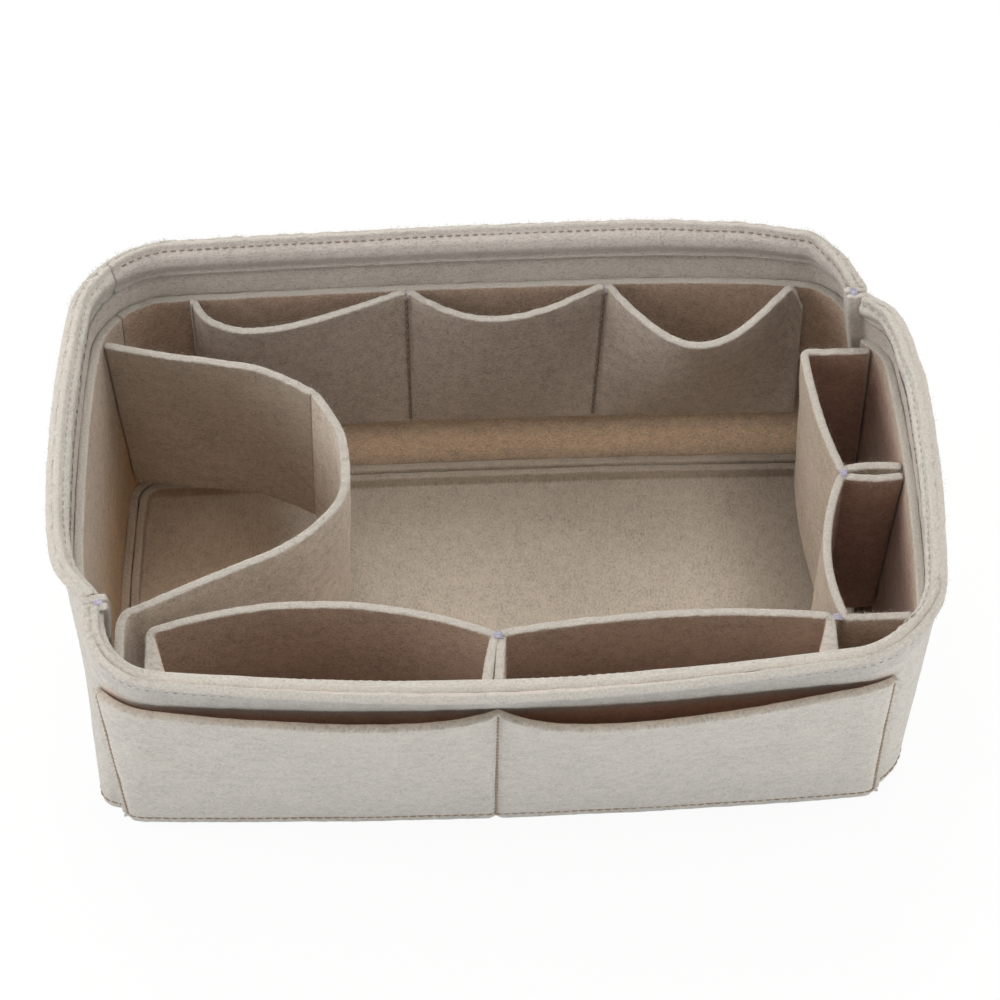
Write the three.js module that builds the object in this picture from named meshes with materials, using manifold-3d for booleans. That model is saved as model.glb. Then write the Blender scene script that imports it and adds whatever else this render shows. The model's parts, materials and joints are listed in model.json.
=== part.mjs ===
// Felt insert that sorts a handbag: flared walls of two sewn strips, a rim facing, a lining, box pockets
// on the front and right walls, bellows pockets on the back wall, a bottle loop on the left wall, and a
// panel of slip pockets outside on the front.
// Millimetres, +Z up, +X along the length to the right, +Y to the back; the origin is under the middle.
import * as THREE from "three";
import Module from "manifold-3d";

const wasm = await Module();
wasm.setup();
const { CrossSection, Manifold } = wasm;

// Felt and its seams
const FELT = 3; // thickness of the felt
const SEAM_GAP = 0.3; // play between two layers sewn face to face
const FLANGE = 5.5; // how far a corner seam stands into the insert

// Outline of the walls, outside, at the base and at the rim
const HEIGHT = 114; // of the outer edge of the rim, which tilts out
const BASE_LENGTH = 288;
const BASE_DEPTH = 151.5;
const BASE_SHIFT = 1.25; // how far the base stands back of the middle of the rim
const BASE_CORNER = 15;
const RIM_LENGTH = 300;
const RIM_DEPTH = 194;
const RIM_CORNER = 28;

// How far each side bows out between its corners, at the base and at the rim
const SIDE_BOW = [3, 9];
const FRONT_BOW = [4, 11];
const BACK_BOW = [2, 3];

// Flare: a straight lean takes this share of it, and the rest rolls out close to the rim
const LENGTH_LEAN = 0.43;
const DEPTH_LEAN = 0.8;
const ROLL_POWER = 20;

// Corner seams pull the rim in: how far at the seam, and how far along the wall before and after it
const BACK_SEAM_PINCH = 14;
const BACK_SEAM_REACH = [13, 34];
const FRONT_SEAM_PINCH = 9;
const FRONT_SEAM_REACH = [9, 24];
const PINCH_POWER = 2.2; // how quickly the pull fades below the rim

// Rim, lining and floor
const FACING_WIDTH = 9.5; // measured upright
const LINING_DROP = 18.5; // from the rim down to the cut edge of the lining
const LIP_HEIGHT = 8; // turned-up edge of the floor and the welt behind it, from the underside

// Pockets inside
const POCKET_DROP = 1.5; // from the cut edge of the lining down to the pockets
const POCKET_FOOT = 14; // underside of the box pockets and of the loop
// Box pockets: where the gussets stand along the wall, and how far in from the rim the leaf stands there
const FRONT_POCKET_ENDS = [-116.5, -1.6, 108.5];
const FRONT_LEAF_INSET = { foot: [42.5, 39.5, 41.5], mouth: [42.5, 37, 39.7] };
const FRONT_LEAF_BOW = [11, 4];
const SIDE_POCKET_ENDS = [-58.5, 0.2, 53];
const SIDE_LEAF_INSET = { foot: [35, 31.5, 34.5], mouth: [36.5, 31.7, 39] };
const SIDE_LEAF_BOW = [5.5, 1.5];
const BACK_POCKET_FOOT = 34;
const BACK_POCKET_ENDS = [-106, -29, 41.8, 110]; // seams, along the length
const BACK_POCKET_GAPE = [9, 8, 22]; // how far each mouth stands out
const BACK_POCKET_PEAK = [0.3, 0.45, 0.48]; // where along the pocket it stands out most
const BACK_POCKET_SCALLOP = 4; // how far a mouth dips
const BACK_POCKET_MARGIN = 2; // sewn flat along each seam
const BACK_POCKET_TAIL = 6; // free end of the right pocket, beyond its seam

// Bottle loop, from the left wall round to the front left corner
const LOOP_REACH = 87; // from the left lining to the nose
const LOOP_BACK_SPACE = 18; // from the back lining to the back leg
const LOOP_FRONT_SPACE = 33; // from the front lining to where the front leg turns in
const LOOP_LEAN = [-3, 5]; // how far the foot of the nose stands right and back of its mouth
// Points that the loop passes, as shares of its reach and of its span from back to front
const LOOP_SHAPE = [
  [0.3, 0.04],
  [0.7, 0.116],
  [0.966, 0.312],
  [1, 0.45],
  [0.907, 0.671],
  [0.557, 0.828],
  [0.24, 0.93],
];

// Slip pockets outside on the front
const PANEL_DROP = 14; // from the rim down to the mouths, at the seams
const PANEL_DIP = 3; // how far a mouth dips between its seams
const PANEL_GAPE = 4; // how far a mouth stands off the wall
const PANEL_FULLNESS = 3; // how flat a mouth runs between its seams
const PANEL_FOOT = 0.6;

// Stations along the wall: whole numbers are where a corner meets a side
const FRONT_LEFT_SEAM = 0;
const FRONT_RIGHT_JOINT = 2.5;
const BACK_RIGHT_SEAM = 4;
const BACK_LEFT_JOINT = 6.5;
const FULL_TURN = 8;
// Seams of the panel of slip pockets, at its foot and at its mouth
const PANEL_LEFT = [0.8, 0.6];
const PANEL_CENTRE = [1.487, 1.487];
const PANEL_RIGHT = [2.19, 2.31];

// Depths of the layers, from the outside of the wall inwards
const LAYER = FELT + SEAM_GAP;
const LINING_DEPTH = LAYER;
const WELT_DEPTH = 2 * LAYER;
const LIP_DEPTH = 3 * LAYER;
const LINING_TOP = HEIGHT - LINING_DROP;
const POCKET_TOP = LINING_TOP - POCKET_DROP;
const LINING_FACE = LINING_DEPTH + FELT;

// Fineness
const CORNER_STEPS = 8;
const SIDE_STEPS = 12;
const LEAF_STEPS = 12;
const LOOP_STEPS = 44;
const POCKET_ROWS = 5;
const PANEL_STEPS = 14;
const PANEL_ROWS = 6;
const WALL_ROWS = [0, 0.3, 0.55, 0.72, 0.82, 0.88, 0.92, 0.95, 0.975, 1].map((share) => share * HEIGHT);

const mix = (from, to, share) => from + (to - from) * share;
const flare = (share, lean) => lean * share + (1 - lean) * share ** ROLL_POWER;

// Half sizes, corner radius and bows of the wall's outline at one height
function outlineAt(z) {
  const share = z / HEIGHT;
  const along = flare(share, LENGTH_LEAN);
  const across = flare(share, DEPTH_LEAN);
  const sideBow = mix(...SIDE_BOW, along);
  const frontBow = mix(...FRONT_BOW, across);
  const backBow = mix(...BACK_BOW, across);
  return {
    halfLength: mix(BASE_LENGTH, RIM_LENGTH, along) / 2 - sideBow,
    halfFront: mix(BASE_DEPTH, RIM_DEPTH, across) / 2 - frontBow,
    halfBack: mix(BASE_DEPTH, RIM_DEPTH, across) / 2 - backBow,
    corner: mix(BASE_CORNER, RIM_CORNER, share),
    shift: mix(BASE_SHIFT, 0, across),
    sideBow,
    frontBow,
    backBow,
  };
}

// Rounded rectangle with straight sides: even sections are corners, odd ones are sides
function straightPlan(station, line) {
  const turn = ((station % FULL_TURN) + FULL_TURN) % FULL_TURN;
  const section = Math.floor(turn);
  const share = turn - section;
  const right = line.halfLength - line.corner;
  const front = -(line.halfFront - line.corner);
  const back = line.halfBack - line.corner;
  const centres = [
    [-right, front],
    [right, front],
    [right, back],
    [-right, back],
  ];
  const quarter = Math.floor(section / 2);
  const [x, y] = centres[quarter];
  const onCorner = (centre, angle) => [
    centre[0] + line.corner * Math.cos(angle),
    centre[1] + line.corner * Math.sin(angle),
  ];
  const start = Math.PI + (quarter * Math.PI) / 2;
  if (section % 2 === 0) return onCorner([x, y], start + (share * Math.PI) / 2);
  const end = start + Math.PI / 2;
  const from = onCorner([x, y], end);
  const to = onCorner(centres[(quarter + 1) % centres.length], end);
  return [mix(from[0], to[0], share), mix(from[1], to[1], share)];
}

// The same with its sides bowed out
function bowedPlan(station, z) {
  const line = outlineAt(z);
  const [x, y] = straightPlan(station, line);
  const half = y < 0 ? line.halfFront : line.halfBack;
  const bow = y < 0 ? line.frontBow : line.backBow;
  return new THREE.Vector2(
    x + line.sideBow * (1 - (y / half) ** 2) * (x / line.halfLength),
    y + bow * (1 - (x / line.halfLength) ** 2) * (y / half) + line.shift,
  );
}

function seamPull(station, z) {
  const fade = (Math.max(z, 0) / HEIGHT) ** PINCH_POWER;
  const here = bowedPlan(station, z);
  const near = (seam, reach) => Math.exp(-((here.distanceTo(bowedPlan(seam, z)) / reach) ** 2));
  const turn = ((station % FULL_TURN) + FULL_TURN) % FULL_TURN;
  const backReach = BACK_SEAM_REACH[turn < BACK_RIGHT_SEAM ? 0 : 1];
  const frontReach = FRONT_SEAM_REACH[turn > BACK_RIGHT_SEAM ? 0 : 1];
  const back = BACK_SEAM_PINCH * near(BACK_RIGHT_SEAM, backReach);
  const front = FRONT_SEAM_PINCH * near(FRONT_LEFT_SEAM, frontReach);
  return fade * (back + front);
}

// Unit direction along the wall, counter-clockwise from above
function wallDirection(station, z) {
  const step = 0.01;
  return bowedPlan(station + step, z).sub(bowedPlan(station - step, z)).normalize();
}

// Point of the wall at a station and height, moved level towards the inside
function levelPoint(station, z, inward) {
  const along = wallDirection(station, z);
  const plan = bowedPlan(station, z);
  const level = inward + seamPull(station, z);
  return new THREE.Vector3(plan.x - along.y * level, plan.y + along.x * level, z);
}

// How steeply the wall leans out, as an angle from upright
function wallLean(station, z) {
  const step = 0.5;
  const low = levelPoint(station, z - step, 0);
  const high = levelPoint(station, z + step, 0);
  const along = wallDirection(station, z);
  const out = (high.x - low.x) * along.y - (high.y - low.y) * along.x;
  return Math.atan2(out, high.z - low.z);
}

// Point at a depth from the outside of the wall, square to it
function wallPoint(station, z, depth) {
  const lean = wallLean(station, z);
  const point = levelPoint(station, z, depth * Math.cos(lean));
  point.z += depth * Math.sin(lean);
  return point;
}

// Point of the lining's inner face at a true height
function linedPoint(station, height) {
  let z = height;
  for (let pass = 0; pass < 3; pass += 1) z = height - LINING_FACE * Math.sin(wallLean(station, z));
  return wallPoint(station, z, LINING_FACE);
}

// Point of the lining's face, between two stations, that has a given x or y at a height
function faceAt(axis, value, height, [low, high]) {
  const rising = linedPoint(high, height)[axis] > linedPoint(low, height)[axis];
  for (let halvings = 0; halvings < 30; halvings += 1) {
    const middle = (low + high) / 2;
    const below = linedPoint(middle, height)[axis] < value;
    if (below === rising) low = middle;
    else high = middle;
  }
  return linedPoint((low + high) / 2, height);
}

// Face of the lining on each wall, at a place along that wall
const WALL_SPANS = { front: [0.2, 2.8], right: [2.2, 4.8], back: [4.2, 6.8], left: [6.2, 7.9] };
const frontFace = (x, z) => faceAt("x", x, z, WALL_SPANS.front).y;
const backFace = (x, z) => faceAt("x", x, z, WALL_SPANS.back).y;
const rightFace = (y, z) => faceAt("y", y, z, WALL_SPANS.right).x;
const leftFace = (y, z) => faceAt("y", y, z, WALL_SPANS.left).x;

// Closed solid between two grids of points: columns run along the sheet, rows run up it
function solidBetween(outer, inner, ring = false) {
  const columns = outer.length;
  const rows = outer[0].length;
  const at = (side, column, row) => (side * columns + (column % columns)) * rows + row;
  const corners = [];
  const quad = (a, b, c, d) => corners.push(a, b, c, a, c, d);
  const spans = ring ? columns : columns - 1;
  for (let i = 0; i < spans; i += 1) {
    const next = i + 1;
    for (let j = 0; j < rows - 1; j += 1) {
      quad(at(0, i, j), at(0, next, j), at(0, next, j + 1), at(0, i, j + 1));
      quad(at(1, i, j), at(1, i, j + 1), at(1, next, j + 1), at(1, next, j));
    }
    const top = rows - 1;
    quad(at(0, i, 0), at(1, i, 0), at(1, next, 0), at(0, next, 0));
    quad(at(0, i, top), at(0, next, top), at(1, next, top), at(1, i, top));
  }
  const end = columns - 1;
  for (let j = 0; j < (ring ? 0 : rows - 1); j += 1) {
    quad(at(0, 0, j), at(0, 0, j + 1), at(1, 0, j + 1), at(1, 0, j));
    quad(at(0, end, j), at(1, end, j), at(1, end, j + 1), at(0, end, j + 1));
  }
  const points = [...outer.flat(), ...inner.flat()];
  const mesh = new wasm.Mesh({
    numProp: 3,
    vertProperties: new Float32Array(points.flatMap((point) => point.toArray())),
    triVerts: new Uint32Array(corners),
  });
  return new Manifold(mesh);
}

// Stations from one to another, stopping at every step of the wall between them
function stationsBetween(from, to) {
  const inner = [];
  for (let section = Math.floor(from); section < to; section += 1) {
    const steps = section % 2 === 0 ? CORNER_STEPS : SIDE_STEPS;
    for (let step = 0; step < steps; step += 1) inner.push(section + step / steps);
  }
  return [from, ...inner.filter((station) => station > from && station < to), to];
}

// Heights from one to another, stopping at every row of the wall between them
const heightsBetween = (low, high) => [low, ...WALL_ROWS.filter((z) => z > low && z < high), high];

// One layer that follows the wall
function layer(stations, heights, depth, ring = false) {
  const face = (inward) => stations.map((station) => heights.map((z) => wallPoint(station, z, inward)));
  return solidBetween(face(depth), face(depth + FELT), ring);
}

// Station at a distance along the lining from a seam, measured at the foot, where the wall is shortest
function stationBeside(seam, distance) {
  const step = 0.1 * Math.sign(distance);
  const length = wallPoint(seam, 0, LINING_FACE).distanceTo(wallPoint(seam + step, 0, LINING_FACE));
  return seam + (step * Math.abs(distance)) / length;
}

// End of a wall strip, turned in at a corner seam; it lies before the seam or after it
function seamFlange(seam, side) {
  const root = FELT / 2;
  const near = (side * SEAM_GAP) / 2;
  const far = near + side * FELT;
  const heights = heightsBetween(LIP_HEIGHT + FELT, HEIGHT);
  const column = (depth, offset) =>
    heights.map((z) => {
      const along = wallDirection(seam, z);
      const point = levelPoint(seam, z, depth);
      return new THREE.Vector3(point.x + along.x * offset, point.y + along.y * offset, z);
    });
  const depths = [root, FELT + FLANGE];
  const [first, second] = side > 0 ? [far, near] : [near, far];
  return solidBetween(
    depths.map((depth) => column(depth, first)),
    depths.map((depth) => column(depth, second)),
  );
}

function wallStrip(from, to) {
  const ends = [stationBeside(from, SEAM_GAP / 2), stationBeside(to, -SEAM_GAP / 2)];
  const sheet = layer(stationsBetween(...ends), WALL_ROWS, 0);
  return sheet.add(seamFlange(from, 1)).add(seamFlange(to, -1));
}

// Stations of an inner layer: it stops short of a seam flange, and of its neighbour at a joint
const SEAMS = [FRONT_LEFT_SEAM, BACK_RIGHT_SEAM, FULL_TURN];
function innerStations(from, to) {
  const clear = (station) => (SEAMS.includes(station) ? LAYER + SEAM_GAP : SEAM_GAP / 2);
  return stationsBetween(stationBeside(from, clear(from)), stationBeside(to, -clear(to)));
}

const facing = (from, to) =>
  layer(innerStations(from, to), heightsBetween(HEIGHT - FACING_WIDTH, HEIGHT), LAYER);
const lining = (from, to) => layer(innerStations(from, to), heightsBetween(0, LINING_TOP), LINING_DEPTH);

const allStations = () => stationsBetween(0, FULL_TURN).slice(0, -1);
const baseWelt = () => layer(allStations(), [0, LIP_HEIGHT], WELT_DEPTH, true);

function basePanel() {
  const lip = layer(allStations(), [0, LIP_HEIGHT], LIP_DEPTH, true);
  const floorEdge = allStations().map((station) => {
    const point = wallPoint(station, 0, LIP_DEPTH + FELT / 2);
    return [point.x, point.y];
  });
  return lip.add(new CrossSection([floorEdge]).extrude(FELT));
}

// Path in plan moved sideways, with mitred corners
function offsetPath(path, distance) {
  const sideways = path.slice(1).map((point, i) => {
    const along = point.clone().sub(path[i]).normalize();
    return new THREE.Vector2(along.y, -along.x);
  });
  return path.map((point, i) => {
    const before = sideways[Math.max(i - 1, 0)];
    const after = sideways[Math.min(i, sideways.length - 1)];
    const mitre = before.clone().add(after).divideScalar(1 + before.dot(after));
    return point.clone().addScaledVector(mitre, distance);
  });
}

// Upright felt strip along a path in plan that may change with height; its top edge may dip
function uprightStrip(pathAt, foot, top, rows = POCKET_ROWS, topDip = () => 0) {
  const shares = Array.from({ length: rows }, (_, row) => row / (rows - 1));
  const grid = (distance) => {
    const paths = shares.map((share) => offsetPath(pathAt(mix(foot, top, share), share), distance));
    return paths[0].map((_, column) =>
      shares.map((share, row) => {
        const z = mix(foot, top - topDip(column), share);
        return new THREE.Vector3(paths[row][column].x, paths[row][column].y, z);
      }),
    );
  };
  return solidBetween(grid(FELT / 2), grid(-FELT / 2));
}

const sharesOf = (steps) => Array.from({ length: steps + 1 }, (_, step) => step / steps);

// Box pocket: gusset, leaf and gusset in one strip. On a wall, `leaf` gives the plan point at a distance
// along it and inside the rim, and `lining` the one at a distance along it and off its lining.
function boxPocket(wall, [from, to], foot, mouth, bow) {
  const pathAt = (z, share) => {
    const inset = (t) => mix(mix(...foot, t), mix(...mouth, t), share) + bow * 4 * t * (1 - t);
    const leaf = sharesOf(LEAF_STEPS).map((t) => wall.leaf(mix(from, to, t), inset(t)));
    return [wall.lining(from, 3 * SEAM_GAP, z), ...leaf, wall.lining(to, 3 * SEAM_GAP, z)];
  };
  return uprightStrip(pathAt, POCKET_FOOT, POCKET_TOP);
}

const FRONT_WALL = {
  leaf: (x, inset) => new THREE.Vector2(x, inset - RIM_DEPTH / 2),
  lining: (x, off, z) => new THREE.Vector2(x, frontFace(x, z) + off),
};
const RIGHT_WALL = {
  leaf: (y, inset) => new THREE.Vector2(RIM_LENGTH / 2 - inset, y),
  lining: (y, off, z) => new THREE.Vector2(rightFace(y, z) - off, y),
};

// Two box pockets side by side share the middle end, each with its own gusset there
function boxPocketAt(index, wall, ends, insets, bows) {
  const half = LAYER / 2;
  const span = index === 0 ? [ends[0], ends[1] - half] : [ends[1] + half, ends[2]];
  const pair = (values) => values.slice(index, index + 2);
  return boxPocket(wall, span, pair(insets.foot), pair(insets.mouth), bows[index]);
}
const frontPocket = (index) =>
  boxPocketAt(index, FRONT_WALL, FRONT_POCKET_ENDS, FRONT_LEAF_INSET, FRONT_LEAF_BOW);
const sidePocket = (index) =>
  boxPocketAt(index, RIGHT_WALL, SIDE_POCKET_ENDS, SIDE_LEAF_INSET, SIDE_LEAF_BOW);

// Bellows pocket: flat on the lining at its seams and foot, standing out most at its mouth
function backPocket(index) {
  const from = BACK_POCKET_ENDS[index] + SEAM_GAP / 2;
  const to = BACK_POCKET_ENDS[index + 1] - SEAM_GAP / 2;
  const skew = Math.log(0.5) / Math.log(BACK_POCKET_PEAK[index]);
  const swell = (t) => Math.sin(Math.PI * t ** skew);
  const flat = SEAM_GAP + FELT / 2;
  const shares = sharesOf(2 * LEAF_STEPS);
  const places = shares.map((t) => mix(from + BACK_POCKET_MARGIN, to - BACK_POCKET_MARGIN, t));
  const tail = index === BACK_POCKET_GAPE.length - 1 ? BACK_POCKET_TAIL : 0;
  const columns = [from, ...places, to + tail];
  const swells = [0, ...shares.map(swell), 0];
  const pathAt = (z, share) =>
    columns.map((x, i) => {
      const off = flat + BACK_POCKET_GAPE[index] * share * swells[i];
      return new THREE.Vector2(x, backFace(x, z) - off);
    });
  const dip = (column) => BACK_POCKET_SCALLOP * swells[column];
  return uprightStrip(pathAt, BACK_POCKET_FOOT, POCKET_TOP, POCKET_ROWS, dip);
}

// Bottle loop: one strip on edge, from the left lining, past the corner seam, to the front lining
function bottleLoop() {
  const face = leftFace(0, POCKET_TOP);
  const back = backFace(0, POCKET_TOP) - LOOP_BACK_SPACE;
  const front = frontFace(0, POCKET_TOP) + LOOP_FRONT_SPACE;
  const flangeEdge = levelPoint(FRONT_LEFT_SEAM, POCKET_TOP, FELT + FLANGE).x;
  const pathAt = (z, share) => {
    const start = new THREE.Vector2(leftFace(back, z) + FELT, back);
    const middle = LOOP_SHAPE.map(([reach, span]) => {
      const lean = reach * (1 - share);
      const x = face + LOOP_REACH * reach + LOOP_LEAN[0] * lean;
      return new THREE.Vector2(x, mix(back, front, span) + LOOP_LEAN[1] * lean);
    });
    const turn = new THREE.Vector2(flangeEdge + LAYER, front);
    const end = new THREE.Vector2(turn.x, frontFace(turn.x, z) + FELT);
    return new THREE.SplineCurve([start, ...middle, turn, end]).getPoints(LOOP_STEPS);
  };
  return uprightStrip(pathAt, POCKET_FOOT, POCKET_TOP);
}

// Panel of two slip pockets: flat on the wall at its seams and foot
function outerPocketPanel() {
  const swell = (t) => 1 - Math.abs(2 * t - 1) ** PANEL_FULLNESS;
  const pocket = (left, right) =>
    sharesOf(PANEL_STEPS).map((t) => ({ left, right, t, swell: swell(t) }));
  const columns = [...pocket(PANEL_LEFT, PANEL_CENTRE), ...pocket(PANEL_CENTRE, PANEL_RIGHT).slice(1)];
  const face = (off) =>
    columns.map((column) =>
      sharesOf(PANEL_ROWS).map((share) => {
        const station = mix(mix(...column.left, share), mix(...column.right, share), column.t);
        const mouth = HEIGHT - PANEL_DROP - PANEL_DIP * column.swell;
        const gape = PANEL_GAPE * column.swell * share ** 2;
        return wallPoint(station, mix(PANEL_FOOT, mouth, share), -(SEAM_GAP + gape + off));
      }),
    );
  return solidBetween(face(FELT), face(0));
}

const felt = new THREE.MeshStandardMaterial({ color: 0xb3a898, roughness: 1 });
const insert = new THREE.Group();
insert.name = "purse_organizer_insert";

function addPiece(name, solid) {
  const made = solid.getMesh();
  const geometry = new THREE.BufferGeometry();
  geometry.setAttribute("position", new THREE.BufferAttribute(made.vertProperties, made.numProp));
  geometry.setIndex(new THREE.BufferAttribute(made.triVerts, 1));
  geometry.computeVertexNormals();
  const mesh = new THREE.Mesh(geometry, felt);
  mesh.name = name;
  insert.add(mesh);
}

addPiece("base_panel", basePanel());
addPiece("base_welt", baseWelt());
addPiece("wall_front_right", wallStrip(FRONT_LEFT_SEAM, BACK_RIGHT_SEAM));
addPiece("wall_back_left", wallStrip(BACK_RIGHT_SEAM, FULL_TURN));
addPiece("rim_facing_front_right", facing(FRONT_LEFT_SEAM, BACK_RIGHT_SEAM));
addPiece("rim_facing_back", facing(BACK_RIGHT_SEAM, BACK_LEFT_JOINT));
addPiece("rim_facing_left", facing(BACK_LEFT_JOINT, FULL_TURN));
addPiece("lining_front", lining(FRONT_LEFT_SEAM, FRONT_RIGHT_JOINT));
addPiece("lining_right", lining(FRONT_RIGHT_JOINT, BACK_RIGHT_SEAM));
addPiece("lining_back", lining(BACK_RIGHT_SEAM, BACK_LEFT_JOINT));
addPiece("lining_left", lining(BACK_LEFT_JOINT, FULL_TURN));
addPiece("back_pocket_left", backPocket(0));
addPiece("back_pocket_middle", backPocket(1));
addPiece("back_pocket_right", backPocket(2));
addPiece("front_pocket_left", frontPocket(0));
addPiece("front_pocket_right", frontPocket(1));
addPiece("side_pocket_front", sidePocket(0));
addPiece("side_pocket_back", sidePocket(1));
addPiece("bottle_loop", bottleLoop());
addPiece("outer_pocket_panel", outerPocketPanel());

export default insert;
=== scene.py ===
"""Felt insert that sorts a handbag, dressed over its solid model and set on a plain stage.

Every felt piece is a sheet: its middle surface is worked out as a grid of points, along it and up it, and is
thickened both ways along its normal with rounded cut edges. Metres, +Z up, +X to the right, +Y to the back.
"""

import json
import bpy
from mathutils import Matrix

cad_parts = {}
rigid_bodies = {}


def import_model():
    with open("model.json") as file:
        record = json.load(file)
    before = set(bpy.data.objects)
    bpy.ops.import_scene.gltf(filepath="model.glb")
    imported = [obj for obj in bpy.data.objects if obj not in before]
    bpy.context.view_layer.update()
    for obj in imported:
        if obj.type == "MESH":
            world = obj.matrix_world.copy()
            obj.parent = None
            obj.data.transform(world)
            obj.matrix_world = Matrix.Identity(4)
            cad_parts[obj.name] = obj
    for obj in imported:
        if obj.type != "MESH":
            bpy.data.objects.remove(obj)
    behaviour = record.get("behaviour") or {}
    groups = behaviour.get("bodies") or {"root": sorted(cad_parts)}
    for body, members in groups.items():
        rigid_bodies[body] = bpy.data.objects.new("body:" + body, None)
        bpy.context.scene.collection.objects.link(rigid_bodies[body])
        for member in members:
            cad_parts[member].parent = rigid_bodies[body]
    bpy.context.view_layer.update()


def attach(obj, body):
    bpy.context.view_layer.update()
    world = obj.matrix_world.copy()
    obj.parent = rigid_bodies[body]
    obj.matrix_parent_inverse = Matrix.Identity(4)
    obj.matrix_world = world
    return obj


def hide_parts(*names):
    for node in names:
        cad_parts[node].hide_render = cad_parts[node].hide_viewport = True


bl_info = {
    "name": "Felt purse insert",
    "version": (1, 0, 0),
    "blender": (4, 5, 0),
    "location": "3D View > Sidebar > Insert",
    "description": "Builds a felt purse insert with its pockets, seams and a plain stage",
    "category": "Object",
}

from collections import namedtuple
from types import SimpleNamespace

import bpy
import numpy as np
from mathutils import Matrix, Vector

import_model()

BODY = "root"
MM = 0.001
TINY = 1e-12
QUARTER_TURN = np.pi / 2

# Stations along the wall, counter-clockwise from above: whole numbers are where a corner meets a side
FULL_TURN = 8
FRONT_LEFT_SEAM = 0.0
FRONT_RIGHT_JOINT = 2.5
BACK_RIGHT_SEAM = 4.0
BACK_LEFT_JOINT = 6.5
WALL_SPANS = {"front": (0.2, 2.8), "right": (2.2, 4.8), "back": (4.2, 6.8), "left": (6.2, 7.9)}
# Seams of the slip pockets, left, centre and right: their stations at the foot and at the mouth
PANEL_SEAMS = ((0.7, 0.485), (1.487, 1.487), (2.235, 2.3))

# Flare of the walls and pull of the corner seams
LENGTH_LEAN = 0.43
DEPTH_LEAN = 0.8
ROLL_POWER = 20
PINCH_POWER = 2.2

# How far the rim rolls out beyond the flare, at stations round the wall
ROLL_STATIONS = np.array(
    [0, 0.95, 1.47, 2.05, 2.6, 3.4, 3.65, 3.78, 3.88, 4, 4.4, 4.7, 5, 5.12, 5.25, 5.5, 5.75, 6.2, 7, 7.6, 8]
)
ROLL_REACH = MM * np.array(
    [0, 0, 2.7, 0, -0.5, -1, -0.5, -2, -3, 0, -2.2, -2.4, 0.2, 2.3, 3.5, 2.8, 2, 1.4, 1.4, 1.2, 0]
)
LIP_POWER = 14

# How far the foot of the wall bulges at the front left corner: its middle station, reach, and height
BULGE_STATION = 0.36
BULGE_SPREAD = 0.2
BULGE_REACH = 2.6 * MM
BULGE_HEIGHT = 34 * MM

# Bottle loop: shares of its reach and of its span from back to front, up to its crease and on from there
LOOP_LEG = np.array([(0.25, 0.041), (0.47, 0.074), (0.654, 0.107), (0.79, 0.158), (0.895, 0.209)])
LOOP_NOSE = np.array(
    [
        (0.954, 0.284),
        (1, 0.365),
        (1.017, 0.46),
        (1.012, 0.56),
        (0.966, 0.637),
        (0.87, 0.715),
        (0.75, 0.775),
        (0.539, 0.846),
        (0.26, 0.945),
    ]
)
# Where along each back pocket its mouth stands out most
BACK_POCKET_PEAK = (0.3, 0.45, 0.48)

# Edges of a sheet: times the rounding, how square each corner is, and whether the foot is rounded too
Edge = namedtuple("Edge", "times outer inner foot")
FREE_EDGE = Edge(1, 3.2, 3.2, 1)
RIM_EDGE = Edge(1.2, 2.6, 16, 1)
FACING_EDGE = Edge(1.7, 16, 2.1, 1)
TRAY_EDGE = Edge(1, 3.2, 3.2, 0)

# Steps over an edge, and how a sheet thins out at its two ends and how close its sections stand there
EDGE_STEPS = 7
END_TAPER = np.array([0.62, 0.9])
END_STEPS = np.array([0, 0.18, 0.6]) * MM

# Fineness of the grids, and steps and rounds of the workings
FINE_STEP = 1.1 * MM
BROAD_STEP = 1.8 * MM
FEWEST_STEPS = 4
FACE_ROWS = 22
RIM_ROWS = 12
GUIDE_STEPS = 200
STATION_STEP = 0.01
SEAM_STEP = 0.05
HEIGHT_STEP = 0.5 * MM
TILT_ROUNDS = 3
HALVINGS = 20

# Unevenness of the felt, how many waves make it, and how far from its centre a closed sheet stays even
WAVE_COUNT = 9
FELT_SWAY = 0.35 * MM
SWAY_LENGTHS = (9 * MM, 60 * MM)
FELT_RAG = 0.6 * MM
RAG_LENGTHS = (2 * MM, 7 * MM)
POLE_CALM = 80 * MM


def length(name, description, default):
    """One length that a user may change."""
    return bpy.props.FloatProperty(
        name=name, description=description, default=default * MM, unit="LENGTH", precision=4
    )


def lengths(name, description, *default):
    """Several lengths that belong together."""
    return bpy.props.FloatVectorProperty(
        name=name,
        description=description,
        default=[value * MM for value in default],
        size=len(default),
        unit="LENGTH",
        precision=4,
    )


def colour(name, description, *default):
    """One colour, as linear red, green and blue."""
    return bpy.props.FloatVectorProperty(
        name=name, description=description, default=default, size=len(default), subtype="COLOR", min=0, max=1
    )


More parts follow.
